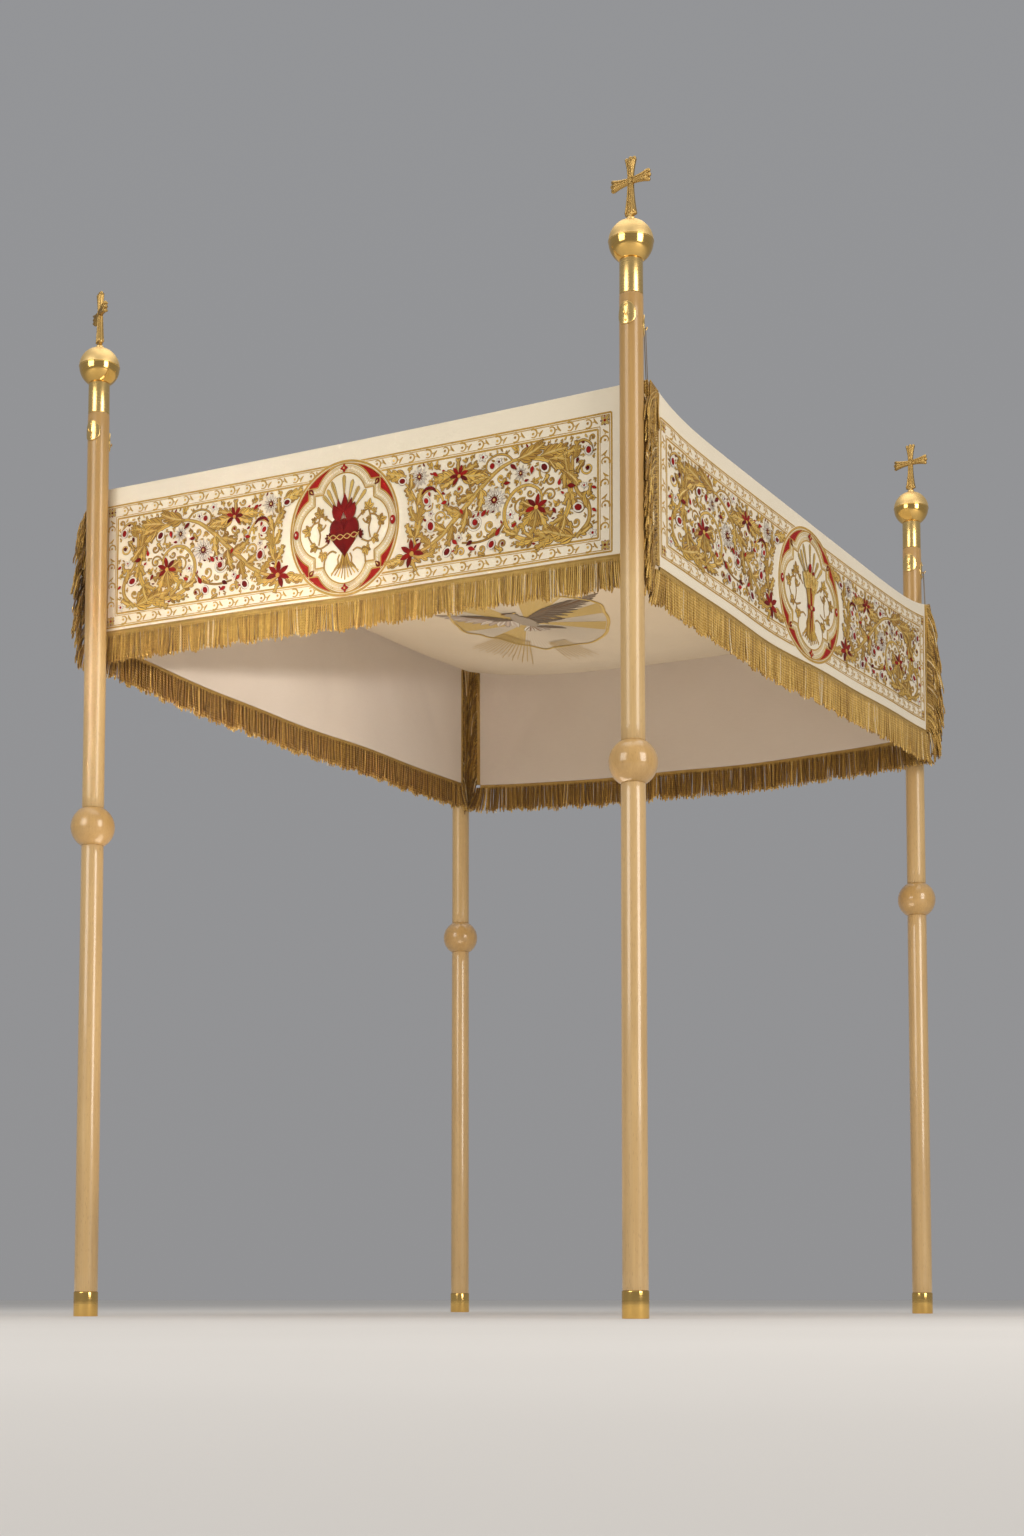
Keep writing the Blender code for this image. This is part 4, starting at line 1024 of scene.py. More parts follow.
def dome(n, x, y, middle, profile, shade, flip):
    """A raised red form over an outline, shrinking toward its middle; profile is shares and heights."""
    rows = [n.at(x * share, middle + (y - middle) * share, np.full(65, height)) for share, height in profile]
    uv = np.array([np.stack([x * share, y * share], -1) for share, _ in profile])
    n.piece.grid(rows[:2], uv[:2], 0.3, "brown", flip=flip)
    n.piece.grid(rows[1:], uv[1:], shade, "red", flip=flip)


FLAME = ((0.011, 0.012), (0.021, 0.017), (0.029, 0.027), (0.032, 0.039), (0.029, 0.053), (0.024, 0.042), (0.020, 0.063),
         (0.0125, 0.050), (0.002, 0.076), (-0.008, 0.051), (-0.016, 0.065), (-0.021, 0.044), (-0.029, 0.055),
         (-0.032, 0.039), (-0.029, 0.027), (-0.021, 0.017), (-0.011, 0.012))
FLAME_PROFILE = ((1.05, 0.0012), (1.0, 0.0021), (0.88, 0.0031), (0.6, 0.0038), (0.3, 0.0042), (0.01, 0.0043))
HEART_PROFILE = ((1.05, 0.0010), (1.0, 0.0018), (0.9, 0.0030), (0.7, 0.0040), (0.4, 0.0048), (0.01, 0.0050))


def flame(n):
    """A bulb of fire with five tongues, dark lines between them and pale ones inside."""
    x, y = (np.interp(np.linspace(0, 16, 65), np.arange(17), column) for column in np.array(FLAME).T)
    dome(n, x, y, 0.034, FLAME_PROFILE, 0.42, n.flip)
    for place, lean, reach in (
            (-0.010, 34, 0.036), (0.010, -34, 0.036), (-0.007, 15, 0.040), (0.007, -13, 0.040), (0.001, 0, 0.048)):
        n.petal(place, 0.016, 90 + lean, reach, 0.0013, "brown", "gem", -0.012 * lean, 0.0, None, 0.9, 8)
        n.petal(place * 1.3 + 0.003, 0.020, 90 + lean, reach * 0.7, 0.0011, "light_gold", "gem", -0.012 * lean, 0.0,
                None, 0.9, 7, 0.3)


def heart_device(n):
    """A red heart with a flame above it and a twisted gold band across it."""
    turn = np.linspace(0.0, 2 * math.pi, 65)
    x = 0.0385 * np.sign(np.sin(turn)) * np.abs(np.sin(turn)) ** 2.4
    y = 0.00288 * (13 * np.cos(turn) - 5 * np.cos(2 * turn) - 2 * np.cos(3 * turn) - np.cos(4 * turn)) - 0.0144
    dome(n, x, y, -0.018, HEART_PROFILE, 0.30, not n.flip)
    n.blob(0.0, 0.008, 0.0150, "red", "leaf", 0.0, 0.0010, 0.30, 0.9)
    flame(n)
    for hand in (-1, 1):
        for degrees in (-60, -20, 20, 60, 100, 150):
            n.petal(hand * 0.040, -0.019, degrees if hand > 0 else 180 - degrees, 0.0125, 0.0026, "red", "bloom",
                    0.2, 0.0009, None, 1.1, 6, 0.1)
    t = np.linspace(-1.0, 1.0, 36)
    for phase in (0.0, math.pi):
        band = np.column_stack([0.042 * t, -0.020 + 0.002 * t * t + 0.0052 * np.sin(t * 7.0 + phase),
                                np.full(36, 0.0010)])
        n.ribbon(band, "brown", 0.0046, 0.0004, 3, 0.0006)
        n.ribbon(band, "light_gold", 0.0050, 0.0006, shade=0.35)
    for k in range(7):
        n.petal(0.040 * (-0.8 + 0.27 * k), -0.020, 70 if k % 2 else -110, 0.0085, 0.0009, "light_gold", "gem", 0.2,
                0.0, None, 1.0, 4)


def wheat_device(n):
    """A tall sheaf of wheat tied with red bands."""
    for k in range(9):
        lean = (k - 4) / 4
        n.stroke([(0.020 * lean, -0.104 + 0.008 * abs(lean), 0.0016), (0.013 * lean, -0.060, 0.0020),
                  (0.011 * lean, -0.024, 0.0020), (0.020 * lean, 0.016, 0.0016)], "gold", "leaf", 0.0010,
                 "light_gold" if k % 2 else None)
        for j in range(5):
            x = 0.021 * lean + lean * 0.0022 * j
            y = 0.010 + 0.006 * (1 - abs(lean)) + 0.0078 * j * (1 - 0.20 * abs(lean))
            for hand in (-1, 1):
                n.petal(x, y, 90 - 18 * lean + 26 * hand, 0.0120, 0.0026, "gold" if k % 2 else "light_gold", "bloom",
                        0.0, 0.0009, None, 1.0, 5)
    for x, first, last in ((-0.006, -0.088, -0.040), (0.005, -0.080, 0.006), (0.0, -0.052, 0.028)):
        n.stroke([(x, first, 0.0010), (x * 0.8, (first + last) / 2, 0.0022), (x, last, 0.0010)], "red", "bloom", 0.0006)
    n.stroke([(-0.016, -0.026, 0.0040), (0.0, -0.030, 0.0046), (0.016, -0.026, 0.0040)], "red", "gem", 0.0010)
    n.blob(0.0, -0.029, 0.0052, "light_gold", "gem")
    n.blob(-0.003, 0.060, 0.0110, "red", "gem", 0.0012, 0.0012, 0.6, 0.60, 70.0)
    n.blob(0.012, 0.052, 0.0060, "red", "gem", 0.0009, 0.0010, 0.5, 0.60, 30.0)


# The frame's margin at the start and the end of each side, its height above the hem and its width,
# and how far the medallion is stretched across and up
LAYOUT = {
    "front": (0.006, 0.043, 0.0075, 0.0320, 0.96, 1.04), "back": (0.006, 0.006, 0.0075, 0.0320, 0.96, 1.04),
    "right": (0.010, 0.010, 0.0260, 0.0320, 1.30, 1.12), "left": (0.010, 0.010, 0.0260, 0.0320, 1.30, 1.12),
}
MEDALLION_LIFT = 0.0012
GROUND_PROFILE = ((0.1500, 0.0), (0.1492, 0.0012), (0.12, 0.0013), (0.08, 0.0013), (0.04, 0.0013), (0.0004, 0.0013))


def add_embroidery(side):
    """The frame, the scroll work and the medallion of one side."""
    piece = Piece(f"embroidery_{side.name}", "gold_fringe", "gold", "light_gold", "brown", "red", "white", "lilac",
                  "ground")
    before, after, low, band, wide, tall = LAYOUT[side.name]
    nominal = PATTERN_HEIGHT + (0.018 if low > 0.02 else 0.0)

    def place(x, y, height):
        distance = side.length / 2 + x
        share = distance / side.length
        local = edge_height(side, share) + CEILING_THICKNESS / 2 - hem_height(side, share)
        depth = 1.0 - y * (local / nominal) ** 0.5 / local
        return side_places(side, distance, depth, TOP_OF_CLOTH + height)

    start, end = CORNER_NOTCH + before - side.length / 2, side.length / 2 - CORNER_NOTCH - after
    frame_border(Needle(piece, place), start, end, low, low + 2 * band + FIELD_HEIGHT + 0.002, band)
    middle, centre = low + band + FIELD_HEIGHT / 2 + 0.001, (start + end) / 2
    field = ((end - start) / 2 - band - (0.1460 + 0.0270) * wide) / FIELD_WIDTH
    for edge, mirrored in ((start + band, False), (end - band, True)):
        half_field(Needle(piece, place, edge, low + band + 0.001, field, mirrored=mirrored))
    angle = np.linspace(0.0, 2 * math.pi, 97)
    piece.grid([place(centre + wide * radius * np.cos(angle), middle + tall * radius * np.sin(angle),
                      np.full(97, height))
                for radius, height in GROUND_PROFILE], None, 0.5, "ground", flip=True)
    medallion(Needle(piece, lambda x, y, h: place(x, y, h + MEDALLION_LIFT), centre, middle, wide, tall),
              heart_device if side in (FRONT, BACK) else wheat_device)
    return piece.make()


# The ceiling's emblem: its place, the wavy closed line round it (degrees and distance from its middle),
# and its golden wedges in degrees, between which the round is pale
EMBLEM_X = -0.075
EMBLEM_Y = 0.060
CLOUD = (
    (3, 0.217), (23, 0.212), (38, 0.214), (67, 0.244), (76, 0.257), (86, 0.247), (102, 0.262), (108, 0.297),
    (113, 0.255), (125, 0.240), (131, 0.218), (141, 0.194), (149, 0.207), (157, 0.189), (167, 0.212), (186, 0.191),
    (208, 0.193), (229, 0.213), (250, 0.229), (270, 0.235), (293, 0.233), (314, 0.244), (337, 0.248), (348, 0.243),
)
WEDGES = ((-15, 5), (24, 46), (118, 145), (170, 205), (235, 262), (290, 320))


def cloud_radius(degrees):
    places, radii = zip(*CLOUD)
    near = [np.interp(np.asarray(degrees) + step, places, radii, period=360.0) for step in (-3.0, -1.5, 0.0, 1.5, 3.0)]
    return np.mean(near, axis=0)


def emblem_rounds(n):
    """The wavy line, the wedges of fine lines inside it and the single rays outside it."""
    turn = np.linspace(0.0, 360.0, 241)
    reach = cloud_radius(turn)
    x, y = reach * np.cos(np.radians(turn)), reach * np.sin(np.radians(turn))
    for half, finish, height in ((0.0042, "gold", 0.0012), (0.0022, "light_gold", 0.0020)):
        n.ribbon(np.column_stack([x, y, np.full(241, half)]), finish, height, 0.0010, shade=0.72)
    for k in range(180):
        degrees = 2.0 * k - 14.0
        golden = any(first < (degrees if degrees < 330 else degrees - 360) < last for first, last in WEDGES)
        first, last = 0.030, float(cloud_radius(degrees)) - 0.006
        finish, half = ("light_gold" if k % 3 == 0 else "ochre", 0.0036) if golden else ("white", 0.0010)
        radii = np.linspace(first, last, 10)
        halves = half * (0.30 + 0.70 * (radii - first) / (last - first))
        n.ribbon(spoke(math.radians(degrees), radii, halves), finish, 0.0005, 0.0003, 2, shade=0.5)
    t = np.linspace(0.0, 1.0, 14)
    for first, last, count, reach, slope in ((116, 143, 16, 0.49, -0.0045), (86, 101, 9, 0.37, 0.0030)):
        for k in range(count):
            degrees = first + (last - first) * k / (count - 1)
            root, tip = float(cloud_radius(degrees)) - 0.06, reach + slope * (degrees - first) - 0.03 * (k % 2)
            n.ribbon(spoke(math.radians(degrees), root + (tip - root) * t, 0.0014 - 0.0005 * t),
                     "ochre" if k % 2 else "light_gold", 0.0036, 0.0004, 2, shade=0.4)


def emblem_wing(n, hand, tip):
    """Long feathers that fan from upright at the shoulder to along the wing, and short ones over them."""
    root, tip = np.array([hand * 0.014, -0.026]), np.array(tip)
    away = math.degrees(math.atan2(*(tip - root)[::-1]))
    inward = 90.0 - 22.0 * hand
    for j in range(12):
        share = j / 11
        spot = root + (tip - root) * (0.08 + 0.64 * share) + np.array([0.0, -0.020 * math.sin(math.pi * share)])
        degrees = inward + (away - inward + (360 if away - inward < -180 else 0)) * share ** 0.8
        # Painted shade: the right wing's long feathers are worked in the darker grey-brown thread and the left wing's
        # in pale threads, though both wings are the same feathers.
        finish = "silver" if hand > 0 else "lilac" if j % 2 else "white"
        n.petal(*spot, degrees, 0.066 + 0.050 * share, 0.0115, finish, "leaf", 0.12 * hand, 0.0010,
                "brown" if hand > 0 else "lilac", 0.7, 9, 0.10 + 0.03 * j)
    for j in range(9):
        share = j / 8
        spot = root + (tip - root) * (0.04 + 0.60 * share) + np.array([0.0, -0.012 - 0.016 * math.sin(math.pi * share)])
        n.petal(*spot, away + hand * -8 + 50 * hand * (1 - share) * 0.5, 0.056, 0.0085, "silver", "bloom", 0.10 * hand,
                0.0008, "brown", 0.8, 8, 0.05 + 0.06 * (j % 3))


def add_emblem():
    """A generic dove with spread wings before gold rays, worked on the ceiling's underside."""
    piece = Piece("ceiling_embroidery", "gold_fringe", "gold", "light_gold", "silver", "lilac", "white", "brown",
                  "ochre")
    n = Needle(piece, lambda x, y, h: ceiling_places(x, y, -SHEET_HALF - h), EMBLEM_X, EMBLEM_Y, inside_out=True)
    emblem_rounds(n)
    emblem_wing(n, -1, (-0.125, -0.097))
    emblem_wing(n, 1, (0.217, -0.121))
    for k in range(7):
        n.petal(0.004 * (k - 3) / 3, 0.030, 96 - (k - 3) * 12, 0.062, 0.0078, "lilac" if k % 2 else "white", "leaf",
                0.0, 0.0008, "brown", 0.9, 8)
    for x, y, degrees, length in ((0.010, 0.012, -8, 0.098), (0.004, 0.040, 34, 0.082)):
        n.petal(x, y, degrees, length, 0.0095, "silver", "bloom", 0.10, 0.0008, "brown", 0.9, 9, 0.1)
    n.blob(0.004, -0.018, 0.060, "silver", "bloom", 0.0010, 0.0026, 0.95, 0.40, 88.0)
    n.blob(0.000, -0.084, 0.0200, "silver", "gem", 0.0010, 0.0022, 0.85, 0.80, 60.0)
    n.blob(-0.010, -0.098, 0.0120, "brown", "gem", 0.0, 0.0012, 0.6, 0.50, 10.0)
    n.petal(0.010, -0.094, -38, 0.016, 0.0040, "ochre", "gem", 0.0, 0.0006, None, 1.2, 6)
    piece.make()


# Fringe

STRAND_PITCH = 0.0047
STRAND_RADII = 0.00185 * np.array([0.85, 1.0, 1.0, 1.03, 1.14, 0.70])
SILVERY = 1.15
EDGE_STRANDS = 72
TUFT_STRANDS = 22
HEM_OVERLAP = 0.017
EXTRA_STRANDS = 5
BRAID_OUT = (0.0002, 0.0026, 0.0032, 0.0026, 0.0002, -0.0006, -0.0006)
HEM_BRAID = (0.0006, 0.0022, 0.0070, 0.0116, 0.0132, 0.0116, 0.0022)
EDGE_BRAID = (0.0, 0.0014, 0.0060, 0.0106, 0.0120, 0.0106, 0.0014)
# How far the strands of each upright edge reach beyond it and outward, in metres, and the share of it at the top
EDGE_REACH = {
    "front": ((0.024, 0.000, 0.5), (0.038, 0.000, 1.0)), "right": ((0.064, 0.006, 0.9), (0.066, 0.023, 0.5)),
    "back": ((0.022, 0.000, 0.8), (0.038, 0.006, 1.1)), "left": ((0.050, 0.016, 1.1), (0.066, 0.023, 0.75)),
}


def add_braid(piece, across, along, places, flip):
    """A woven band; places gives the points of one of its lines from its place across and its height."""
    lines = [places(distance, out) for distance, out in zip(across, BRAID_OUT)]
    piece.grid(np.stack(lines, 1), uv_grid(np.array(across), along), 0.5, "braid", around=True, flip=flip)


def add_rope(piece, path):
    tube(piece, path, 0.0011, 5, "fringe", 0.55, 0.25, 2 * math.pi / 0.011)


def add_strand(piece, path, shade):
    tube(piece, path, STRAND_RADII, 5, "fringe", shade, 0.14, 2 * math.pi / 0.02, False)


def add_hem_fringe(side, chance):
    first, last = CORNER_NOTCH, side.length - CORNER_NOTCH
    braid = Piece(f"hem_braid_{side.name}", "gold_fringe", "braid", "fringe")
    distance = np.linspace(first, last, 180)
    add_braid(braid, HEM_BRAID, distance, lambda drop, out: side_places(side, distance, 1.0, 0.0012 + out, drop), True)
    for drop in (0.0016, 0.0126):
        add_rope(braid, side_places(side, np.linspace(first, last, round((last - first) / 0.0034)), 1.0, 0.0040, drop))
    braid = braid.make(f"hem_fringe_{side.name}")
    strands = Piece(f"hem_strands_{side.name}", "gold_fringe", "fringe")
    run = side.length - 2 * CORNER_NOTCH + 2 * HEM_OVERLAP
    count = round(run / STRAND_PITCH)
    share = np.array([0.0, 0.22, 0.50, 0.78, 0.93, 1.0])
    bend = share ** 1.6
    for row, every in enumerate((1, 1, 3)):
        for i in range(-EXTRA_STRANDS, count + EXTRA_STRANDS, every):
            spot = -0.8 * i - 0.7 if i < 0 else i if i < count else count - 0.3 - 0.8 * (i - count + 1)
            spot += 0.4 + 0.48 * row + chance.uniform(-0.16, 0.16)
            place = CORNER_NOTCH - HEM_OVERLAP + run * spot / (count + 1)
            tilt = (0.0030 * math.sin(place * 47.0 + side.phase) + 0.0018 * math.sin(place * 131.0 + 2 * side.phase)
                    + chance.uniform(-0.0018, 0.0018))
            tilt += 0.018 * (math.exp((place - last) / 0.022) - math.exp((first - place) / 0.022))
            swing = 0.0024 * math.sin(place * 61.0 + side.phase) + chance.uniform(-0.0020, 0.0020)
            ragged = 0.0030 * math.sin(place * 83.0 + 3 * side.phase)
            reach = side.lock * chance.uniform(0.90, 1.06) + ragged + 0.005 - 0.005 * row
            path = side_places(side, place + tilt * bend, 1.0, 0.0034 - 0.0030 * row + swing * bend,
                               0.010 + reach * share)
            path[:, 2] += 0.0006 * np.sin(share * 9.0 + place * 90.0)
            shade = random_shade(chance, 0.60, 0.14, 0.92)
            # Painted shade: the front fringe is made darker toward its left end.
            if side is FRONT:
                shade -= 0.24 * (1.0 - place / side.length) ** 2
            if chance.random() < 0.035:
                shade = SILVERY
            # Painted shade: each row behind is darker, so the gaps between the front strands read dark.
            add_strand(strands, path, shade - 0.30 * row)
    return braid, strands.make(f"hem_fringe_{side.name}")


def add_edge_fringe(side, at_end, chance):
    corner = CORNERS[(SIDES.index(side) + at_end) % 4]
    toward, base = (1.0, side.length) if at_end else (-1.0, 0.0)
    inner = CORNER_NOTCH - 0.0006
    braid = Piece(f"edge_braid_{side.name}_{corner}", "gold_fringe", "braid", "fringe")
    depth = np.linspace(0.016, 1.0, 60)
    add_braid(braid, EDGE_BRAID, depth * VALANCE_DROP,
              lambda across, out: side_places(side, base + toward * (across - inner), depth, 0.0012 + out), not at_end)
    add_rope(braid, side_places(side, base + toward * (0.0016 - inner), np.linspace(0.016, 1.0, 130), 0.0040))
    braid.make(f"edge_fringe_{side.name}_{corner}")
    strands = Piece(f"edge_strands_{side.name}_{corner}", "gold_fringe", "fringe")
    beyond = np.array([side.ax, side.ay, 0.0]) * toward
    outward = np.array([side.ay, -side.ax, 0.0])
    far, out, top_share = EDGE_REACH[side.name][at_end]
    reach = beyond * far + outward * out
    t = np.array([0.0, 0.18, 0.42, 0.68, 0.90, 1.0])
    swing = (np.sin(t * math.pi / 2) ** 0.9)[:, None]

    def strand(root, pull, fall, shade):
        side_step = outward * chance.uniform(-0.005, 0.006) + beyond * chance.uniform(-0.004, 0.004)
        path = root + pull * swing + side_step * (t ** 1.5)[:, None]
        path[:, 2] -= fall * (0.35 * t + 0.65 * (1 - np.cos(t * math.pi / 2)))
        add_strand(strands, path, SILVERY if chance.random() < 0.025 else shade)

    for row in range(3):
        for i in range(EDGE_STRANDS):
            share_down = (i + chance.uniform(0.1, 0.9)) / EDGE_STRANDS
            root = side_places(side, base + toward * (0.0095 - inner), 0.014 + 0.98 * share_down, 0.0034 - 0.0026 * row)
            swell = top_share + (1.0 - top_share) * math.sin(math.pi * min(share_down / 1.30 + 0.06, 1.0)) ** 1.2
            spread = chance.uniform(0.22 if row else 0.70, 1.04 if row else 1.02)
            # Painted shade: the rows further in are darker.
            shade = random_shade(chance, 0.44, 0.22, 0.9) - 0.12 * row
            strand(root, reach * spread * swell, 0.082 * chance.uniform(0.84, 1.10), shade)
    for i in range(TUFT_STRANDS):
        place = base + toward * (-inner * (i + chance.uniform(0.2, 0.8)) / TUFT_STRANDS)
        root = side_places(side, place, 0.004, 0.0032 - 0.0016 * (i % 2))
        strand(root, reach * 0.10, 0.105 * chance.uniform(0.75, 1.15), random_shade(chance, 0.42, 0.2, 0.9))
    strands.make(f"edge_fringe_{side.name}_{corner}")


# Poles

TINY = 0.0002
BALL_RADIUS, BALL_HEIGHT = 0.051, 1.130
POLE_RADIUS, JOINT_RADIUS, FOOT_RADIUS = 0.0252, 0.0258, 0.0267
KNOB_RADIUS, KNOB_HEIGHT = 0.0472, 2.228
COLLAR_RADIUS, NECK_RADIUS = 0.0247, 0.0085
NECK_TOP = KNOB_HEIGHT + math.sqrt(KNOB_RADIUS ** 2 - NECK_RADIUS ** 2) + 0.006
CROSS_CENTRE = 2.412 - 0.0525
CROSS_TURN = {"front_left": -37, "front_right": -10, "back_right": -8, "back_left": -10}
HANGER_TURN = {"front_left": 70, "front_right": 53, "back_right": 30, "back_left": -37}
HANGER_HEIGHT, SPARE_HEIGHT = 2.052, 2.068
SPARE_TURN = {"front_left": -90, "front_right": -90, "back_right": -90, "back_left": 90}


def pole_axis(name):
    low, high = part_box(f"lower_pole_{name}")
    return (low.x + high.x) / 2, (low.y + high.y) / 2


def arc(radius, centre, low_radius, high_radius, steps):
    """A ball's outline from where it is low_radius wide at its foot up to high_radius at its top."""
    angles = np.linspace(math.pi - math.asin(low_radius / radius), math.asin(high_radius / radius), steps + 1)
    return [(radius * math.sin(a), centre + radius * math.cos(a)) for a in angles]


def turned(label, node, slot, name, *lathed):
    """A turned piece from its profiles, each with its finish and number of sides."""
    piece = Piece(f"{label}_{name}", slot, *dict.fromkeys(finish for finish, _, _ in lathed))
    for finish, sides, profile in lathed:
        lathe(piece, pole_axis(name), profile, sides, finish)
    piece.make(f"{node}_{name}")


def add_turned_pieces(name):
    turned("ferrule_shell", "ferrule", "brass", name, ("brass", 56, [
        (TINY, 0.0), (0.0268, 0.0), (0.0276, 0.0006), (0.0278, 0.0016), (0.0278, 0.0538), (0.0276, 0.0550),
        (0.0270, 0.0558), (0.0262, 0.0560), (0.0262, 0.0540)]))
    ball_depth = math.sqrt(BALL_RADIUS ** 2 - JOINT_RADIUS ** 2)
    foot, top = 0.0575, BALL_HEIGHT - ball_depth
    heights = np.linspace(foot, top - 0.0012, 30)
    radii = FOOT_RADIUS + (JOINT_RADIUS - FOOT_RADIUS) * (heights - foot) / (top - foot)
    turned("lower_shaft", "lower_pole", "pole_wood", name, ("glossy_wood", 56, [
        (0.0255, 0.030), (0.0255, 0.0563), (0.0263, 0.0563), *zip(radii, heights), (0.0252, top - TINY),
        (TINY, top - TINY)]))
    outline = arc(BALL_RADIUS, BALL_HEIGHT, JOINT_RADIUS, JOINT_RADIUS, 40)
    turned("turned_ball", "pole_ball", "pole_wood", name,
           ("ball_wood", 64, [(TINY, outline[0][1]), *outline, (TINY, outline[-1][1])]))
    bottom = BALL_HEIGHT + ball_depth + 0.0003
    turned("upper_shaft", "upper_pole", "pole_wood", name, ("wood", 56, [
        (TINY, bottom), (0.0243, bottom), *((POLE_RADIUS, h) for h in np.linspace(bottom + 0.001, 2.1097, 30)),
        (0.0246, 2.1120), (0.0236, 2.1127), (0.0236, 2.150)]))
    collar_top = KNOB_HEIGHT - math.sqrt(KNOB_RADIUS ** 2 - COLLAR_RADIUS ** 2)
    turned("collar_tube", "collar", "brass", name, ("collar_brass", 56, [
        (0.0239, 2.1135), (0.0243, 2.1130), (COLLAR_RADIUS, 2.1140), (COLLAR_RADIUS, collar_top - 0.0015),
        (0.0243, collar_top - 0.0003), (TINY, collar_top - 0.0003)]))
    lower = [p for p in arc(KNOB_RADIUS, KNOB_HEIGHT, COLLAR_RADIUS, 0.0471999, 22) if p[1] < 2.2262]
    upper = [p for p in arc(KNOB_RADIUS, KNOB_HEIGHT, 0.0471999, NECK_RADIUS, 24) if p[1] > 2.2298]
    turned("brass_ball", "finial_ball", "brass", name,
           ("brass", 72, [(TINY, lower[0][1]), *lower, (KNOB_RADIUS, 2.2264)]),
           ("brass", 72, [(KNOB_RADIUS, 2.2264), (0.0479, 2.2270), (0.04805, 2.2280), (0.0479, 2.2290),
                          (KNOB_RADIUS, 2.2296)]),
           ("satin_brass", 72, [(KNOB_RADIUS, 2.2296), *upper, (0.0086, NECK_TOP - 0.0040),
                                (0.0092, NECK_TOP - 0.0032), (0.0092, NECK_TOP - 0.0018),
                                (NECK_RADIUS, NECK_TOP - 0.0008), (0.0080, NECK_TOP), (TINY, NECK_TOP)]))


def add_cross(name):
    """A cross of rounded, flaring arms with raised ribs and three lobes at each end."""
    centre = CROSS_CENTRE
    cosine, sine = cos_sin(CROSS_TURN[name])
    x, y = pole_axis(name)
    body = Piece(f"cross_body_{name}", "brass", "cross_brass")

    def put(across, height, out):
        across, height, out = np.broadcast_arrays(across, height, out)
        return np.stack([x + cosine * across - sine * out, y + sine * across + cosine * out, height], -1)

    def arm(direction, sections):
        """A bar with rounded edges; sections are distance from the middle, half width and half thickness."""
        corner = np.linspace(0.0, 2 * math.pi, 21)[:-1]
        wide, thick = (np.sign(wave) * np.abs(wave) ** 0.45 for wave in (np.cos(corner), np.sin(corner)))
        run, half, deep = (np.array(column)[:, None] for column in zip(*sections))
        if direction[1]:
            points = put(half * wide * -direction[1], centre + direction[1] * run, deep * thick)
        else:
            points = put(direction[0] * run, centre + half * wide * direction[0], deep * thick)
        body.grid(points, around=True, flip=True)

    t = np.linspace(0.0, 1.0, 9)
    lobe = np.linspace(0.03, math.pi - 0.03, 9)[:, None]
    ball_turn = np.arange(14) * 2 * math.pi / 14
    for direction, reach in (((1, 0), 0.0440), ((-1, 0), 0.0440), ((0, 1), 0.0455)):
        arm(direction, [(reach * k, 0.0068 + 0.0064 * k ** 2.2, 0.0042 + 0.0006 * k) for k in t]
            + [(reach + 0.0006, 0.0132 * 0.9, 0.0040), (reach + 0.0012, 0.0004, 0.0004)])
        for number in (-1, 0, 1):
            for face in (-1, 1):
                spread = number * (0.0038 + 0.0056 * t ** 2.2)
                along = 0.004 + (reach - 0.003) * t
                path = (put(spread, centre + along, face * 0.0044) if direction[1]
                        else put(direction[0] * along, centre + spread, face * 0.0044))
                tube(body, path, 0.0012 + 0.0014 * t, 6)
            size, run = (0.0046, reach + 0.0010) if number else (0.0050, reach + 0.0022)
            ring_a, ring_b = size * np.sin(lobe) * np.cos(ball_turn), size * np.sin(lobe) * np.sin(ball_turn)
            step = number * 0.0092
            ball = ((step + ring_a, centre + run + ring_b) if direction[1]
                    else (direction[0] * run + ring_a, centre + step + ring_b))
            body.grid(put(*ball, size * np.cos(lobe)), around=True)
    stem = centre - NECK_TOP - 0.0003
    arm((0, -1), [(stem * k, 0.0068 + 0.0068 * (k / 0.94) ** 2, 0.0044 + 0.0006 * k)
                  for k in np.linspace(0.0, 0.94, 11)]
        + [(stem * 0.946, 0.0126, 0.0046), (stem * 0.950, 0.0066, 0.0050), (stem, 0.0062, 0.0050),
           (stem + 0.0001, 0.0002, 0.0002)])
    t = np.linspace(0.0, 1.0, 12)
    for number in (-1, 0, 1):
        for face in (-1, 1):
            path = put(number * (0.0038 + 0.0062 * t ** 2), centre - 0.004 - (stem * 0.93 - 0.006) * t,
                       face * (0.0046 + 0.0006 * t))
            tube(body, path, 0.0012 + 0.0012 * t, 6)
    a = np.linspace(0.0, 2 * math.pi, 25)[:-1]
    for face in (-1, 1):
        tube(body, put(0.0056 * np.cos(a), centre + 0.0056 * np.sin(a), face * 0.0046), 0.0011, 6, cyclic=True)
    body.make(f"cross_{name}")


PLATE_PROFILE = ((1.0, 0.0), (1.0, 0.0012), (0.97, 0.0018), (0.92, 0.0020), (0.6, 0.0020), (0.3, 0.0021),
                 (0.01, 0.0021))
SCREW_PROFILE = ((0.0027, 0.0018), (0.0027, 0.0026), (0.0021, 0.0033), (0.0010, 0.0036), (0.0001, 0.0037))
HOOK_REACH, HOOK_BEND = 0.0105, 0.0024


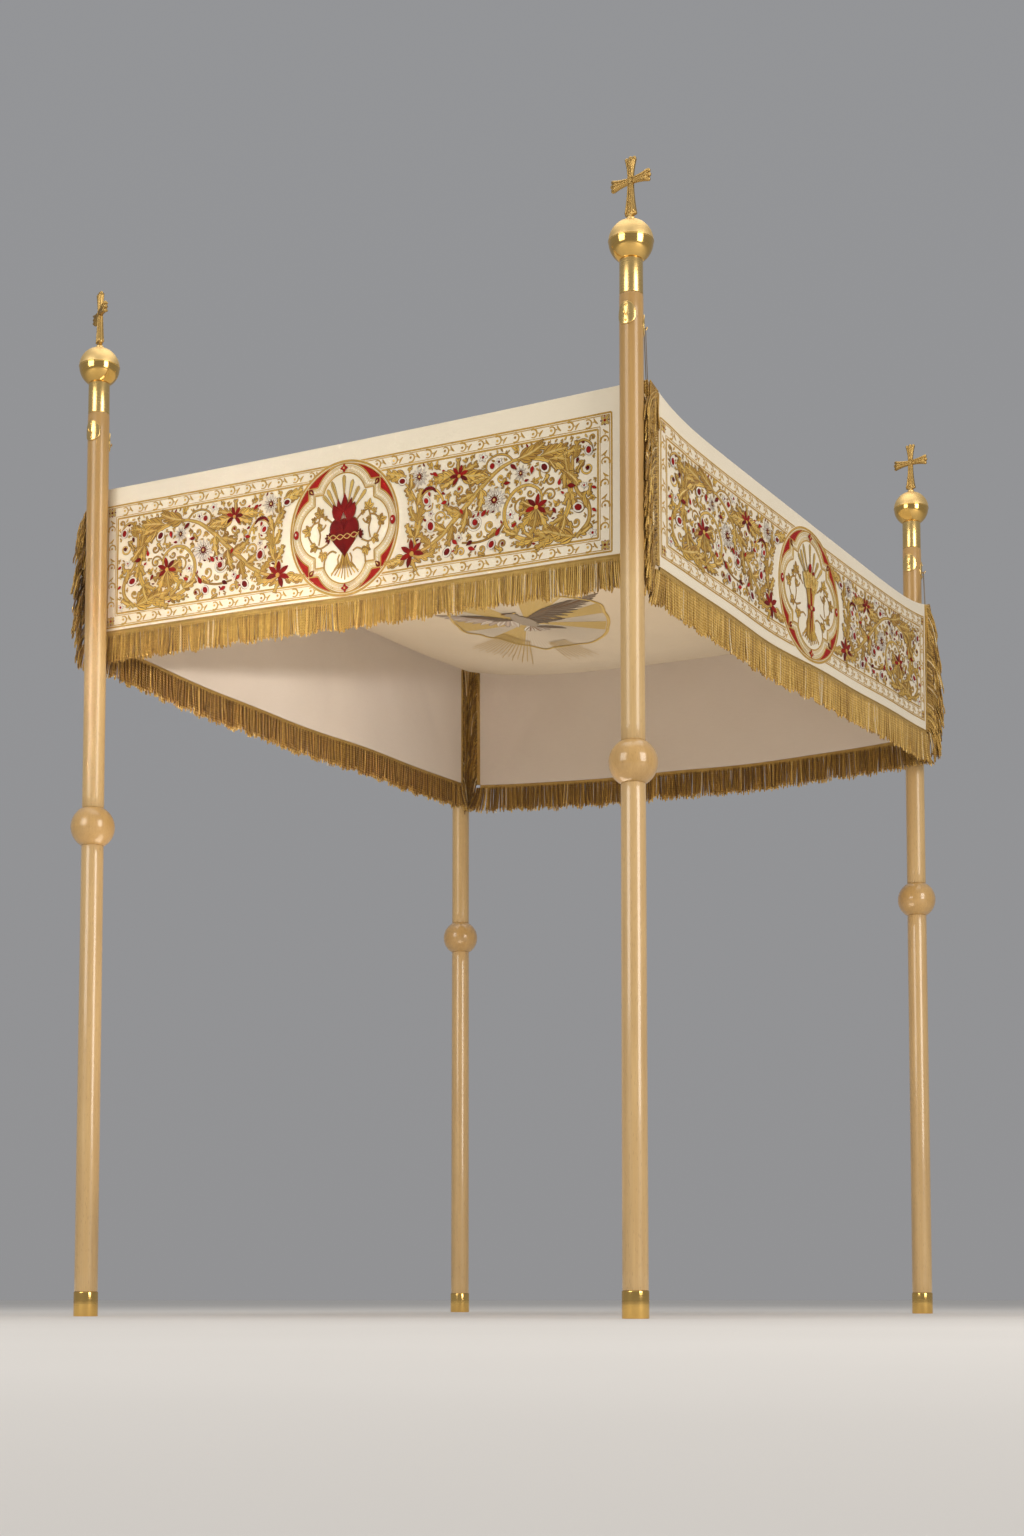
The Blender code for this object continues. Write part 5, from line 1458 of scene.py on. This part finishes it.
def add_plate(kind, name, turn, height):
    """A bent egg-shaped plate with a rounded rim, two screws and an upturned hook."""
    axis = pole_axis(name)
    piece = Piece(f"{kind}_fitting_{name}", "brass", "collar_brass", "brass")
    facing = math.radians(turn)
    half_angle = math.radians(48)
    inner = (POLE_RADIUS + 0.0004) / math.cos(math.radians(8))

    def put(angle, up, out):
        angle, up, out = np.broadcast_arrays(facing + angle, height + up, inner + out)
        return np.stack([axis[0] + out * np.cos(angle), axis[1] + out * np.sin(angle), up], -1)

    a = 2 * math.pi * np.arange(48) / 48
    across, up = np.cos(a), np.sin(a)
    egg = 1.0 - 0.10 * up
    piece.grid([put(half_angle * across * ring * egg, 0.0245 * up * ring - 0.0015 * (1 - up * up) * ring, out)
                for ring, out in PLATE_PROFILE], None, 0.5, "collar_brass", around=True)
    a = np.arange(16) * math.pi / 8
    for up in (0.0155, -0.0170):
        piece.grid([put(radius * np.cos(a) / 0.0275, up + radius * np.sin(a), out) for radius, out in SCREW_PROFILE],
                   None, 0.5, "brass", around=True)
    a = np.radians(np.linspace(-90, 0, 7))
    up = np.concatenate([[-0.005], -0.0036 + HOOK_BEND * np.sin(a), [-0.0010, 0.0005]])
    out = np.concatenate([[0.0010], HOOK_REACH - HOOK_BEND + HOOK_BEND * np.cos(a), [HOOK_REACH, HOOK_REACH]])
    tube(piece, put(0.0, up, out), 0.0012, 10, "brass")
    piece.make(f"{kind}_{name}")


def dress_cord(name):
    """The cord's solid shows as it is, in the cord's material."""
    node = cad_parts[f"hanger_cord_{name}"]
    node.data.materials.clear()
    node.data.materials.append(MATERIALS["cord"])


# Floor and sky

def add_floor():
    mesh = bpy.data.meshes.new("floor")
    angle = [2 * math.pi * i / 64 for i in range(64)]
    mesh.from_pydata([(60 * math.cos(a), 60 * math.sin(a), 0.0) for a in angle], [], [list(range(64))])
    material, nodes, shader = new_material("pale_floor", Roughness=0.75)
    tone = nodes.noise(nodes.place(), 0.6)
    nodes.put(shader, Base_Color=nodes.between(tone, (0.66, 0.645, 0.63), (0.72, 0.705, 0.69)))
    mesh.materials.append(material)
    floor = link_object("floor", mesh)


def add_world():
    world = bpy.data.worlds.new("world")
    world.use_nodes = True
    bpy.context.scene.world = world
    nodes = Nodes(world.node_tree)
    height = nodes.split(nodes.add("ShaderNodeTexCoord").outputs["Generated"])[2]
    colour = nodes.ramp(height, (0.0, (0.36, 0.36, 0.37)), (0.55, (0.37, 0.375, 0.39)), (1.0, (0.78, 0.76, 0.73)))
    nodes.put(world.node_tree.nodes["Background"], Color=colour, Strength=0.80)


add_camera()
add_world()
add_floor()
add_area_light("key", (-1.5, -6.3, 3.0), (0.0, -0.3, 1.3), (3.0, 3.4), 150, (1.0, 0.95, 0.87))
add_area_light("fill", (5.7, -2.5, 2.6), (0.2, 0.0, 1.3), (2.4, 3.6), 205, (1.0, 0.94, 0.86))
add_area_light("overhead", (0.2, -0.2, 5.2), (0.0, 0.0, 0.0), (4.0, 4.0), 60, (1.0, 0.96, 0.90))
add_area_light("under", (0.1, -0.3, 0.012), (0.1, 0.1, 2.0), (1.1, 1.4), 17, (1.0, 0.84, 0.66), 2.4)
add_area_light("low", (3.6, -6.5, 0.3), (-0.69, -0.20, 1.66), (0.6, 0.3), 1.3, (1.0, 0.95, 0.90), 0.15)
bpy.context.scene.view_settings.view_transform = "Standard"

chance = random.Random(5)
add_ceiling()
add_emblem()
for side in SIDES:
    valance = add_valance(side)
    braid, strands = add_hem_fringe(side, chance)
    add_embroidery(side)
    for at_end in (False, True):
        add_edge_fringe(side, at_end, chance)
for name in CORNERS:
    add_turned_pieces(name)
    add_cross(name)
    add_plate("hanger_plate", name, HANGER_TURN[name], HANGER_HEIGHT)
    add_plate("spare_plate", name, SPARE_TURN[name], SPARE_HEIGHT)
    dress_cord(name)
